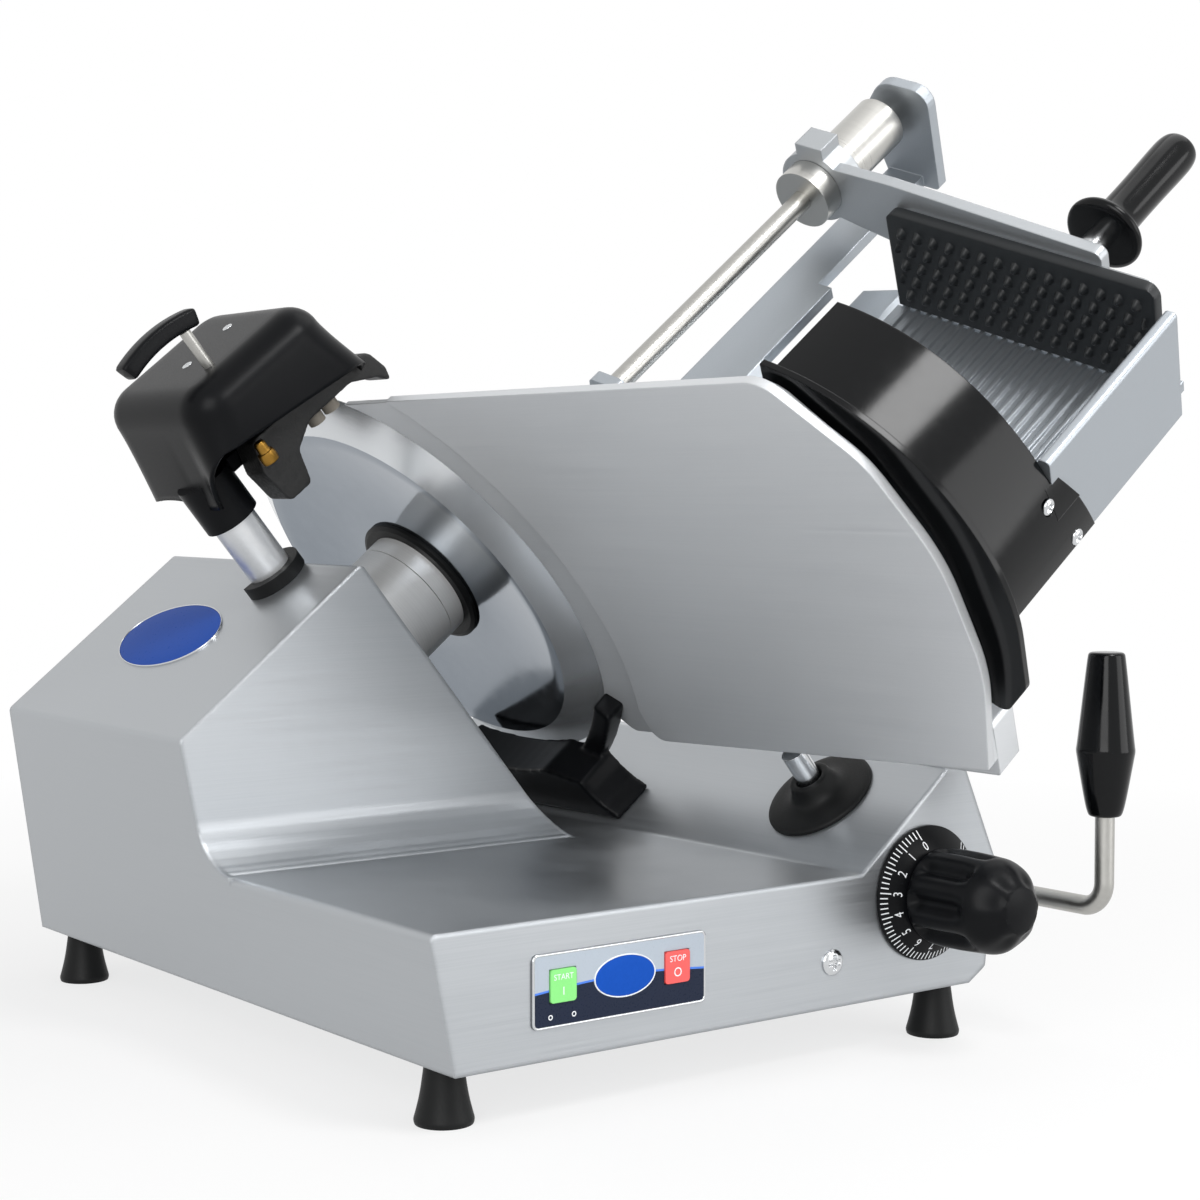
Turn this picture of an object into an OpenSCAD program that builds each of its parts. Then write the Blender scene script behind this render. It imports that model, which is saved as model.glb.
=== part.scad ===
// Gravity-feed food slicer with a carriage that is pushed by hand.
// Millimetres, +Z up, +X to the operator's right, +Y away from the operator.
// The origin is the centre of the front left foot, on the counter.

/* [Base casing] */
// Width of the base at its bottom edge
base_w = 390; // [380:1:400]
// Depth of the base at its bottom edge
base_l = 530; // [520:1:560]
// Height of the low front deck above the bottom edge
deck_h = 78.5; // [76:0.5:80]
// Outward lean of the left side, per millimetre of height
side_lean = 0.205; // [0.15:0.005:0.25]
// Height of the left side where the sloped top begins
side_top_h = 160; // [156:1:164]
// Length of the sloped top, from the left side to the ridge
slope_len = 166; // [162:1:170]
// Tilt of the knife axis and of every sloped face, in degrees
tilt = 39.1; // [38.5:0.1:39.7]
// Distance from the left bottom edge to the valley in the deck
valley_x = 296; // [294:1:298]
// Length of the sloped deck to the right of the valley
rise_len = 94; // [92:1:97]
// Width of the narrow flat on top of the right side
crest_w = 16; // [12:1:20]
// How far the right flank stands out past the bottom edge
flank_out = 22; // [20:1:26]
// Front of the motor housing
housing_y = 250; // [246:1:254]
// Back of the motor housing
housing_back_y = 506; // [500:1:512]
// Radius where the housing front runs into the deck
cove_r = 30; // [20:1:36]
// Sheet thickness of the casing
casing_t = 3; // [2:0.5:4]
// Bend radius of the casing's edges
bend_r = 4; // [2:0.5:6]
// Height of the rubber feet
foot_h = 34; // [25:1:45]
// Distance of the feet from the left and right edges
foot_in_x = 16; // [14:1:30]
// Distance of the left front foot from the front edge
foot_in_y = 35; // [24:1:40]
// Distance of the right front foot from the front edge
foot_right_y = 20; // [18:1:40]

/* [Knife] */
// Radius of the knife
knife_r = 165; // [160:1:166]
// Knife axis behind the front of the base
knife_y = 390; // [386:1:394]
// Knife axis below the ridge, along the housing's right face
knife_drop = 100; // [97:1:104]
// Cutting edge out from the housing's right face
edge_d = 98; // [97:0.5:100]
// Radius of the hub
hub_r = 42.5; // [40:0.5:45]
// Radius of the knife shaft
arbor_r = 12.5; // [10:0.5:14]

/* [Gauge plate] */
// Thickness of the gauge plate
gauge_t = 10; // [8:0.5:12]
// Top edge of the gauge plate above the ridge
gauge_top = 62; // [58:1:66]
// Bottom edge of the gauge plate below the ridge
gauge_bottom = 232; // [228:1:236]
// Largest slice thickness, the gauge plate's travel
slice_max = 18; // [10:1:18]
// Turn of the index knob over that travel, in degrees
index_turn = 300; // [240:5:300]

/* [Carriage] */
// Tilt of the product table towards the operator, in degrees
roll = 23.7; // [23:0.1:24.4]
// Width of the product table
table_w = 200; // [196:1:204]
// Height of the table's front wall
table_wall_h = 76; // [72:1:80]
// Travel of the carriage
carriage_travel = 330; // [300:5:335]
// Radius of the knife guard's arch
guard_r = 134; // [132:1:136]
// Radius of the pusher's slide rod
rod_r = 6.5; // [5.5:0.5:7]
// Radius of the carriage handle's rod
handle_rod_r = 6; // [5:0.5:7]

/* [Hidden] */
$fn = 64;
// Running clearance of a shaft in its bore
run = 0.05;
// Clearance between neighbouring pieces
gap = 0.3;

// Corners of the casing's sections, worked out from the driving sizes
side_top_x = -side_lean * side_top_h;
ridge_x = side_top_x + slope_len * cos(tilt);
ridge_z = side_top_h + slope_len * sin(tilt);
toe_x = ridge_x + (ridge_z - deck_h) * tan(tilt);
crest_x = valley_x + rise_len * cos(tilt);
crest_z = deck_h + rise_len * sin(tilt);
// The flank never comes nearer the crest than this
flank_least = 12;
flank_x = max(base_w + flank_out, crest_x + crest_w + flank_least);
skirt_h = 9;
// The sloped deck, measured below the ridge and out from the right face
deck_t = (valley_x - ridge_x) * sin(tilt) + (ridge_z - deck_h) * cos(tilt);
valley_d = (valley_x - ridge_x) * cos(tilt) - (ridge_z - deck_h) * sin(tilt);
crest_d = valley_d + rise_len;

// Feet and bottom plate
foot_top_r = 11;
foot_bottom_r = 17;
plate_t = 2.5;
lip = 6;
screw_r = 2.5;

// Front panel
panel_x = 50.5;
panel_z = 19;
panel_w = 120.5;
panel_h = 40;
panel_t = 1.5;
pad_w = 17.7;
pad_h = 18.5;
start_x = 61;
stop_x = 141.5;
pad_z = 32;
pad_proud = 1;
pad_travel = 0.8;
pad_back = casing_t - 0.1;
module_d = 25;
badge_in = 81;
badge_y = knife_y + 2;
badge_w = 62;
badge_l = 118;
badge_t = 1.2;

// Knife drive
bearing_r = 26;
bearing_w = 15;
bearing_1 = 6;
bearing_2 = 56;
hub_split = 76;
hub_end = edge_d - 4;
seal_r = 52;
seal_t = 4;
bevel_r = knife_r - 26;
pulley_w = 14;
pulley_back = -22;
arbor_pulley_r = 38;
motor_pulley_r = 16;
motor_drop = 71;
motor_r = 42;
motor_len = 100;
motor_shaft_r = 6;
belt_t = 3;
bracket_t = 5;
knife_h = -knife_drop;
shoe_d = 44;
shoe_len = 34;
shoe_y = 245;
shoe_past = 30;
shoe_a0 = 236;
shoe_a1 = 282;
horn_t = 16;
horn_sweep = 21;
shoe_lap = 33;
motor_hh = knife_h - motor_drop;

// Gauge plate and its index
lip_r = knife_r + 4;
body_r = knife_r + 44;
gauge_back_d = edge_d - gauge_t;
lip_t = 4;
gauge_left_y = 262;
gauge_low_y = 203;
gauge_waist_y = 213;
gauge_waist_h = 70;
gauge_right_y = -98;
ledge_t = 20;
ledge_h = 42;
ledge_to = 150;
post_y = 84;
post_d = 94;
post_r = 8;
boot_r = 37;
boot_t = 3;
index_x = 350;
index_z = 62;
dial_r = 42;
dial_t = 4;
knob_len = 68;
knob_y = -12;
knob_r = 31;
knob_root_r = 24;
flutes = 8;
flute_r = 8;
flute_len = knob_len * 0.7;
flute_lean = 9;
index_shaft_r = 8;
cam_y = 112;
cam_w = 10;
cam_r0 = 9;
pin_r = 3.5;
pin_gap = 0.9;
slider_d = 80;
slider_len = 32;
slider_y = 66;
slider_w = 44;
slider_top = deck_t + casing_t + 8;
slider_h = 21;
guide_r = 5;
guide_h = -(slider_top + slider_h / 2);
guide_from = 44;
guide_to = crest_d - 6;
guide_block = 8;

// Carriage
corner_y = -134;
corner_h = -127;
floor_t = 6;
floor_from = edge_d + 8;
floor_to = 318;
rib_pitch = 8;
rib_h = 1.6;
wall_t = 8;
wall_from = 172;
wall_hidden = 140;
wall_to = 306;
rail_s = 236;
rail_w = 26;
rail_q = 20;
rail_t = 8;
rail_from = edge_d + 14;
rail_to = 414;
shelf_w = 10;
shelf_to = 288;
web_to = 215;
rod_s = 258;
rod_q = 70;
lug_t = 8;
guard_s = 117.4;
guard_q = 12.4;
guard_t = 4.5;
guard_from = edge_d + 3;
guard_to = 170;
flange_t = 4;
flange_out = 11;
flange_w = 36;
tab_to = 196;
tab_top = 42;
slide_x = 386;
slide_z = 23;
slide_r = 7;
block_t = 8.5;
block_h = 12;
// The shaft ends short of the leaning back wall
back_lean = (base_l - housing_back_y) / side_top_h;
shaft_end = base_l - casing_t - back_lean * (slide_z + block_h) - block_t;
trolley_w = 24;
trolley_h = 26;
trolley_y = 40;
trolley_l = 70;
bush_t = 2;
arm_y = 60;
arm_w = 22;
arm_z = 18;
arm_x = 416;
arm_t = 18;
arm_knee_z = 230;
arm_top_z = 440;
bracket_d = 232;
bracket_h = 16;
slot_z = 12;
slot_h = 26;
handle_y = -79;
handle_z = 55;
bend_handle_r = 16;
handle_x = arm_x + 9;
grip_z = 112;
grip_h = 101;

// Pusher
pusher_d = 316;
pusher_s = 12;
pusher_w = 186;
pusher_q = 2;
pusher_h = 75;
pad_t = 7;
steel_t = 3;
stud_h = 5;
stud_r = 2.2;
stud_cols = 13;
stud_rows = 5;
sleeve_r = 18;
collar_r = 20;
collar_len = 14;
arm_d = pusher_d + pad_t + steel_t;
arm_plate_t = 8;
arm_ring_r = 25;
arm_ring_len = 18;
sleeve_end = rail_to - lug_t - 8;
grip_s = 68.5;
grip_q = 71.5;
stem_r = 8;
stem_len = 18;
pusher_grip_len = 88;

// Sharpener
sharp_y = 333;
sharp_d = -19;
sharp_post_r = 15;
sharp_post_h = 78;
ring_r = 22;
ring_t = 9;
holder_r = sharp_post_r + 4;
holder_h = 26;
holder_over = 8;
boss_d = 30;
boss_y = 338;
boss_r = 7;
cover_h = 147;
cover_low = 70;
cover_front = 97;
cover_back = 61;
rim_lean = 8;
cover_y = 272;
cover_w = 136;
cover_d = -24;
cover_len = 116;
cover_flare_l = 9;
cover_flare_r = 12;
cover_t = 3;
cover_round = 18;
fork_y = 300;
fork_w = 26;
fork_d = 8;
fork_len = 112;
fork_bridge_l = 44;
fork_bridge_r = 84;
fork_low = 44;
fork_under = 76;
fork_top = 92;
stone_ds = [62, 76];
stone_r = 6;
stone_t = 9;
stone_pin_r = 3;
stem_d = 17;
stem_y = 302;
lever_h = 174;
lever_stem_r = 3.7;
lever_w = 14;
lever_t = 12;
lever_curve_r = 95;
lever_half = 18;
lever_off = 19;

// Points on a circle from one angle to another
function arc(c, r, a0, a1, n = 16) =
  [for (i = [0:n]) c + r * [cos(a0 + (a1 - a0) * i / n), sin(a0 + (a1 - a0) * i / n)]];

// Corner b of a polygon, rounded with radius r
function corner(a, b, c, r, n = 5) =
  let (u = (a - b) / norm(a - b), v = (c - b) / norm(c - b),
       half = acos(max(-1, min(1, u * v))) / 2,
       reach = r / tan(half),
       m = b + (u + v) / norm(u + v) * r / sin(half),
       p = b + u * reach - m, q = b + v * reach - m,
       a0 = atan2(p[1], p[0]), turn = atan2(p[0] * q[1] - p[1] * q[0], p * q))
  [for (i = [0:n]) m + r * [cos(a0 + turn * i / n), sin(a0 + turn * i / n)]];

// Polygon whose corners are all rounded; radii is one number or a list
function rounded(pts, radii) =
  let (n = len(pts))
  [for (i = [0:n - 1])
    for (p = let (r = is_list(radii) ? radii[i] : radii)
      r <= 0 ? [pts[i]] : corner(pts[(i + n - 1) % n], pts[i], pts[(i + 1) % n], r)) p];

// Polygon moved inwards by w; the points run counter-clockwise
function moved(a, b, w) = let (n = [a[1] - b[1], b[0] - a[0]] / norm(b - a)) [a + n * w, b + n * w];
function crossing(p, q) =
  let (u = p[1] - p[0], v = q[1] - q[0], k = u[0] * v[1] - u[1] * v[0],
       w = q[0] - p[0], f = (w[0] * v[1] - w[1] * v[0]) / k)
  p[0] + u * f;
function inset(pts, w) =
  let (n = len(pts))
  [for (i = [0:n - 1])
    crossing(moved(pts[(i + n - 1) % n], pts[i], w), moved(pts[i], pts[(i + 1) % n], w))];

// The whole machine, from the measured corner to the foot's centre
module placed() translate([-foot_in_x, -foot_in_y, foot_h]) children();
// Frame of the sloped faces: X out along the knife axis, Z up from the sloped top
module tilted() placed() translate([ridge_x, 0, ridge_z]) rotate([0, -tilt, 0]) children();
// Frame of the product table: X along the feed, Y back along the floor, Z up from it
module trough() tilted() translate([0, corner_y, corner_h]) rotate([roll, 0, 0]) children();
// A drawn (x, z) outline carried along Y
module along_y(from, to) translate([0, to, 0]) rotate([90, 0, 0]) linear_extrude(to - from) children();
// A drawn (y, z) outline carried along X
module along_x(from, to) translate([from, 0, 0]) rotate([90, 0, 90]) linear_extrude(to - from) children();
// A round bar along X, Y or Z
module bar_x(r, from, to) translate([from, 0, 0]) rotate([0, 90, 0]) cylinder(r = r, h = to - from);
module bar_y(r, from, to) translate([0, to, 0]) rotate([90, 0, 0]) cylinder(r = r, h = to - from);
// The knife axis, with X along it
module on_knife() tilted() translate([0, knife_y, knife_h]) children();
// The index axis, with Y along it
module on_index() placed() translate([index_x, 0, index_z]) children();

// Base casing

function front_outline() = [
  [0, 0], [base_w, 0], [flank_x - 7.5, skirt_h], [flank_x, deck_h], [crest_x + crest_w, crest_z],
  [crest_x, crest_z], [valley_x, deck_h], [-side_lean * deck_h, deck_h]
];
function housing_outline() = [
  [0, 0], [toe_x, 0], [toe_x, deck_h], [ridge_x, ridge_z], [side_top_x, side_top_h]
];
// Side view of the housing: the front drops into a cove on the deck
function cove_outline(w) =
  concat([[base_l + 1, -1], [base_l + 1, ridge_z + 20], [housing_y + w, ridge_z + 20]],
         arc([housing_y - cove_r + w, deck_h + cove_r], cove_r, 0, -90, 8),
         [[housing_y - cove_r + w, deck_h - casing_t - 1], [housing_y - cove_r + w, -1]]);

// Side view of the whole casing: the back leans forward
function back_outline(w) = [
  [w, -1], [base_l - w, -1], [housing_back_y - w, side_top_h], [housing_back_y - w, ridge_z + 20],
  [w, ridge_z + 20]
];
module casing_volume(w) intersection() {
  along_x(side_top_x - 10, flank_x + 10) polygon(back_outline(w));
  union() {
    along_y(w, base_l - w) polygon(w > 0 ? inset(front_outline(), w) :
      rounded(front_outline(), [0, 0, bend_r, bend_r, bend_r, bend_r, bend_r, bend_r]));
    intersection() {
      along_y(w, base_l - w) polygon(w > 0 ? inset(housing_outline(), w) :
        rounded(housing_outline(), [0, 0, 0, bend_r, bend_r]));
      along_x(side_top_x - 10, toe_x + 10) polygon(cove_outline(w));
    }
  }
}
// Slot in the sloped deck for the gauge post
module post_slot() {
  for (d = [post_d - slice_max, post_d])
    tilted() translate([d, post_y, -deck_t - 12]) cylinder(r = post_r + 1, h = 24);
  tilted() translate([post_d - slice_max, post_y - post_r - 1, -deck_t - 12])
    cube([slice_max, 2 * post_r + 2, 24]);
}
module base_casing() color("silver") difference() {
  placed() casing_volume(0);
  placed() casing_volume(casing_t);
  placed() translate([lip, lip, -1]) cube([base_w - 2 * lip, base_l - 2 * lip, casing_t + 2]);
  post_slot();
  on_knife() bar_x(bearing_r + 4, -2 * casing_t, casing_t);
  tilted() translate([sharp_d, sharp_y, -2 * casing_t]) cylinder(r = sharp_post_r + run, h = 3 * casing_t);
  on_index() bar_y(index_shaft_r + run, -1, casing_t + 1);
  // Slot in the right flank for the carriage arm
  placed() translate([flank_x - 30, arm_y - 2, slot_z]) cube([60, arm_w + carriage_travel + 4, slot_h]);
  for (x = [start_x, stop_x])
    placed() translate([x - gap, -1, pad_z - gap]) cube([pad_w + 2 * gap, casing_t + 2, pad_h + 2 * gap]);
  placed() translate([272, 0, 28]) bar_y(screw_r + 0.05, -1, casing_t + 1);
}
module bottom_plate() color("dimgray") difference() {
  placed() translate([lip + gap, lip + gap, 0])
    cube([base_w - 2 * lip - 2 * gap, base_l - 2 * lip - 2 * gap, plate_t]);
  at_feet() translate([0, 0, -1]) cylinder(r = screw_r + run, h = plate_t + 2);
}
module at_feet() placed()
  for (p = [[foot_in_x, foot_in_y], [base_w - foot_in_x + 4, foot_right_y],
            [foot_in_x, base_l - foot_in_y], [base_w - foot_in_x, base_l - foot_in_y]])
    translate([p[0], p[1], 0]) children();
// Moulded foot, solid underneath, on a stud that goes up through the bottom plate
module feet() color("black") at_feet() rotate_extrude() polygon([
  [screw_r + run, 0], [foot_top_r, 0], [foot_top_r + 1, -5], [foot_bottom_r - 1, -foot_h + 5],
  [foot_bottom_r, -foot_h + 3], [foot_bottom_r - 1, -foot_h], [0, -foot_h], [0, -foot_h + 12],
  [screw_r + run, -foot_h + 12]
]);
module foot_screws() color("gray") at_feet() rotate_extrude() polygon([
  [0, -foot_h + 12], [screw_r, -foot_h + 12], [screw_r, plate_t], [screw_r + 2.5, plate_t],
  [screw_r + 2.5, plate_t + 4], [0, plate_t + 4]
]);

// Front panel

module control_panel() color("midnightblue") difference() {
  placed() translate([0, -panel_t, 0]) along_y(0, panel_t)
    polygon(rounded([[panel_x, panel_z], [panel_x + panel_w, panel_z],
      [panel_x + panel_w, panel_z + panel_h], [panel_x, panel_z + panel_h]], 3));
  for (x = [start_x, stop_x])
    placed() translate([x - gap, -2 * panel_t, pad_z - gap])
      cube([pad_w + 2 * gap, 3 * panel_t, pad_h + 2 * gap]);
}
module press_pad(x) placed() translate([x, 0, pad_z]) translate([0, -panel_t - pad_proud, 0])
  along_y(0, panel_t + pad_proud + pad_back)
    polygon(rounded([[0, 0], [pad_w, 0], [pad_w, pad_h], [0, pad_h]], 2));
module start_pad() color("limegreen") press_pad(start_x);
module stop_pad() color("red") press_pad(stop_x);
module switch_module() color("dimgray") difference() {
  placed() translate([panel_x, casing_t, panel_z]) cube([panel_w, module_d, panel_h]);
  for (x = [start_x, stop_x])
    placed() translate([x - gap, casing_t - 1, pad_z - gap])
      cube([pad_w + 2 * gap, 1 + pad_travel + 0.4, pad_h + 2 * gap]);
}
module housing_badge() color("royalblue") tilted() translate([-badge_in, badge_y, 0])
  linear_extrude(badge_t) polygon([for (a = [0:9:351]) [badge_w / 2 * cos(a), badge_l / 2 * sin(a)]]);
module front_screw() color("silver") placed() translate([272, 0, 28]) {
  bar_y(6, -3, 0);
  bar_y(screw_r, 0, casing_t + 5);
}

// Knife drive

module hub_housing() color("silver") on_knife() difference() {
  union() {
    bar_x(hub_r + 12, 0, 8);
    bar_x(hub_r, 8, hub_split);
    bar_x(bearing_r + 4 - gap, -casing_t, 0);
  }
  bar_x(bearing_r, bearing_1, hub_split + 1);
  bar_x(bearing_r - 5, -casing_t - 1, bearing_1 + 1);
}
module hub_bearings() color("gray") on_knife()
  for (d = [bearing_1, bearing_2]) difference() {
    bar_x(bearing_r, d, d + bearing_w);
    bar_x(arbor_r + run, d - 1, d + bearing_w + 1);
  }
module knife_arbor() color("lightgray") on_knife() bar_x(arbor_r, pulley_back - 4, edge_d - 1.5);
module arbor_pulley() color("dimgray") on_knife() translate([pulley_back, 0, 0]) rotate([0, 90, 0])
  rotate_extrude() polygon([
    [arbor_r, 0], [arbor_pulley_r, 0], [arbor_pulley_r, 1], [arbor_pulley_r - 3, 2],
    [arbor_pulley_r - 3, pulley_w - 2], [arbor_pulley_r, pulley_w - 1], [arbor_pulley_r, pulley_w],
    [arbor_r, pulley_w]
  ]);
module on_motor() tilted() translate([0, knife_y, motor_hh]) children();
module motor_pulley() color("dimgray") on_motor() union() {
  bar_x(motor_shaft_r, pulley_back - bracket_t - 10, pulley_back + pulley_w);
  difference() {
    bar_x(motor_pulley_r, pulley_back, pulley_back + pulley_w);
    translate([pulley_back + 2, 0, 0]) rotate([0, 90, 0]) difference() {
      cylinder(r = motor_pulley_r + 1, h = pulley_w - 4);
      translate([0, 0, -1]) cylinder(r = motor_pulley_r - 3, h = pulley_w);
    }
  }
}
// Outline of two pulleys with a belt stretched round them, in (y, h)
module belt_loop(w) hull() {
  translate([knife_y, knife_h]) circle(r = arbor_pulley_r - 3 + w, $fn = 32);
  translate([knife_y, motor_hh]) circle(r = motor_pulley_r - 3 + w, $fn = 32);
}
module drive_belt() color("black") tilted()
  along_x(pulley_back + 2.5, pulley_back + pulley_w - 2.5) difference() {
    belt_loop(gap + belt_t);
    belt_loop(gap);
  }
module motor() color("slategray") on_motor() difference() {
  union() {
    bar_x(motor_r, pulley_back - bracket_t - 4 - motor_len, pulley_back - bracket_t - 4);
    bar_x(motor_r + 3, pulley_back - bracket_t - motor_len * 0.8, pulley_back - bracket_t - motor_len * 0.3);
  }
  bar_x(motor_shaft_r + run, pulley_back - bracket_t - 12, pulley_back);
}
// Plate that carries the motor, stood off the housing's right wall
module motor_bracket() color("gray") difference() {
  union() {
    tilted() along_x(pulley_back - bracket_t - 4, pulley_back - 4)
      translate([knife_y - 60, motor_hh - 36]) square([120, 72]);
    for (y = [knife_y - 54, knife_y + 54], h = [motor_hh - 30, motor_hh + 30])
      tilted() translate([0, y, h]) bar_x(5, pulley_back - 5, -casing_t);
  }
  on_motor() bar_x(motor_shaft_r + 1, pulley_back - 20, 0);
}
module knife_hub() color("silver") on_knife() difference() {
  bar_x(hub_r, hub_split + 2 * gap, hub_end);
  bar_x(arbor_r, hub_split, hub_end + 1);
}
module hub_seal() color("black") on_knife() translate([hub_end - seal_t, 0, 0]) rotate([0, 90, 0])
  rotate_extrude() polygon([
    [hub_r, 0], [seal_r - 3, 0], [seal_r, 1.5], [seal_r, seal_t], [hub_r, seal_t]
  ]);
// Dished disc with its bevel towards the housing
module knife() color("lightsteelblue") on_knife() rotate([0, 90, 0]) rotate_extrude($fn = 128) polygon([
  [arbor_r, hub_end], [seal_r + 8, hub_end], [bevel_r - 26, edge_d - 8], [bevel_r - 6, edge_d - 13],
  [bevel_r, edge_d - 13.5], [knife_r, edge_d - 0.4], [knife_r, edge_d], [knife_r - 15, edge_d - 1],
  [bevel_r - 20, edge_d - 1.5], [arbor_r, edge_d - 1.5]
]);
module knife_screws() color("gray") on_knife() for (a = [90, 210, 330]) rotate([a, 0, 0])
  translate([0, 30, 0]) bar_x(6, edge_d - 1.5, edge_d + 0.5);

// Black shoe on the deck that hugs the lower front of the knife
module knife_deflector() color("black") tilted() {
  along_x(shoe_d, shoe_d + shoe_len) polygon(concat(
    [[shoe_y, -deck_t], [knife_y + shoe_past, -deck_t]],
    [for (i = [0:10]) let (a = shoe_a1 + (shoe_a0 - shoe_a1) * i / 10)
      [knife_y, knife_h] + (knife_r - shoe_lap + (shoe_lap - 8) * i * i / 100) * [cos(a), sin(a)]],
    [[shoe_y + 19, -deck_t + 33], [shoe_y + 16, -deck_t + 22], [shoe_y + 11, -deck_t + 12],
     [shoe_y + 2, -deck_t + 4]]));
  // Horn that curls out round the rim, towards the operator
  intersection() {
    along_x(shoe_d + shoe_len / 2, edge_d - 1) polygon(concat(
      arc([knife_y, knife_h], knife_r + 3, shoe_a0 + 2, shoe_a0 - horn_sweep, 12),
      arc([knife_y, knife_h], knife_r + 3 + horn_t, shoe_a0 - horn_sweep, shoe_a0 + 2, 12)));
    along_y(0, knife_y) polygon([[shoe_d + 18, -deck_t], [shoe_d + shoe_len, -deck_t],
      [edge_d - 1, -deck_t + 66], [edge_d - 1, -deck_t + 90], [edge_d - 14, -deck_t + 90]]);
  }
}

// Gauge plate

// Outline in (y, h), with its top and right edges drawn in by w
function gauge_outline(w) = rounded([
  [gauge_left_y, gauge_top - w / 2], [gauge_right_y, gauge_top - w / 2], [gauge_right_y - 43 + w, 6],
  [gauge_right_y - 57 + w, -60], [gauge_right_y - 42 + w, -140], [gauge_right_y, -gauge_bottom + 14],
  [gauge_low_y, -gauge_bottom], [gauge_waist_y, -gauge_bottom + gauge_waist_h]
], [0, 25, 60, 120, 150, 2, 24, 0]);
module gauge_face(r, w) difference() {
  polygon(gauge_outline(w));
  translate([knife_y, knife_h]) circle(r = r, $fn = 96);
}
module gauge_plate() color("silver") tilted() {
  along_x(gauge_back_d, edge_d - lip_t) gauge_face(body_r, 0);
  along_x(edge_d - lip_t, edge_d) gauge_face(lip_r, 10);
  // Ledge along the bottom, under the table
  difference() {
    along_x(edge_d - 1, edge_d + ledge_t)
      polygon(rounded([[gauge_right_y + 6, -gauge_bottom], [ledge_to, -gauge_bottom],
        [ledge_to, -gauge_bottom + ledge_h], [gauge_right_y - 12, -gauge_bottom + ledge_h]], 3));
    translate([post_d, post_y, -gauge_bottom - 1]) cylinder(r = post_r, h = 20);
  }
}
module gauge_post() color("lightgray") tilted() translate([post_d, post_y, -slider_top])
  cylinder(r = post_r, h = slider_top - gauge_bottom);
module post_boot() color("black") tilted() translate([post_d, post_y, -deck_t + gap])
  rotate_extrude() polygon([
    [post_r + run, 0], [boot_r, 0], [boot_r, boot_t - 1], [boot_r - 2, boot_t], [post_r + 9, boot_t + 3],
    [post_r + 6, boot_t + 12], [post_r + run, boot_t + 14]
  ]);
module gauge_slider() color("gray") tilted() difference() {
  union() {
    translate([slider_d, slider_y, -slider_top - slider_h]) cube([slider_len, slider_w, slider_h]);
    // Follower arm, over the index shaft and down behind it
    translate([slider_d, cam_y - 14, index_h() + index_shaft_r + 0.7]) cube([slider_len, 12, 9]);
    translate([pin_d() - 8, cam_y - 14, index_h() + index_shaft_r + 0.7])
      cube([slider_d - pin_d() + 9, 12, -slider_top - slider_h - index_h() - index_shaft_r - 1.3]);
    translate([pin_d() - 8, cam_y - 14, index_h() - 8]) cube([12, 12, 18]);
    translate([pin_d(), 0, index_h()]) bar_y(pin_r, cam_y - 3, cam_y + cam_w);
  }
  for (y = guide_ys()) translate([0, y, guide_h])
    bar_x(guide_r + run, slider_d - 1, slider_d + slider_len + 1);
}
function pin_d() = index_d() - cam_r0 - pin_gap - pin_r;
function guide_ys() = [slider_y + 10, slider_y + slider_w - 10];
function index_d() = (index_x - ridge_x) * cos(tilt) + (index_z - ridge_z) * sin(tilt);
function index_h() = -(index_x - ridge_x) * sin(tilt) + (index_z - ridge_z) * cos(tilt);
module guide_rods() color("lightgray") tilted() for (y = guide_ys())
  translate([0, y, guide_h]) bar_x(guide_r, guide_from, guide_to);
module guide_blocks() color("gray") tilted() for (d = [guide_from, guide_to - guide_block]) difference() {
  translate([d, slider_y, -slider_top - slider_h])
    cube([guide_block, slider_w, slider_top + slider_h - deck_t - casing_t]);
  for (y = guide_ys()) translate([0, y, guide_h]) bar_x(guide_r, d - 1, d + guide_block + 1);
}

// Index knob

module index_dial() color("black") on_index() difference() {
  bar_y(dial_r, -gap - dial_t, -gap);
  bar_y(index_shaft_r, -dial_t - 1, 0);
}
module index_knob() color("black") on_index() difference() {
  rotate([90, 0, 0]) rotate_extrude() polygon([
    [index_shaft_r, dial_t + gap], [knob_root_r + 4, dial_t + gap], [knob_root_r, -knob_y],
    [knob_r, -knob_y + knob_len - 22], [knob_r, -knob_y + knob_len - 8], [knob_r - 6, -knob_y + knob_len],
    [0, -knob_y + knob_len], [0, -knob_y + 4], [index_shaft_r, -knob_y + 4]
  ]);
  for (i = [0:flutes - 1]) rotate([0, i * 360 / flutes, 0]) translate([knob_root_r + 4.5, knob_y, 0])
    rotate([0, 0, flute_lean]) bar_y(flute_r, -flute_len, 6);
}
module index_shaft() color("lightgray") on_index() bar_y(index_shaft_r, knob_y - 4, cam_y + cam_w);
// Spiral cam that pushes the gauge plate open
module index_cam() color("gray") on_index() difference() {
  along_y(cam_y, cam_y + cam_w) polygon([for (i = [0:40]) let (turn = index_turn * i / 40)
    (cam_r0 + slice_max * i / 40) * [cos(180 + tilt + turn), sin(180 + tilt + turn)]]);
  bar_y(index_shaft_r, cam_y - 1, cam_y + cam_w + 1);
}

// Carriage

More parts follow.
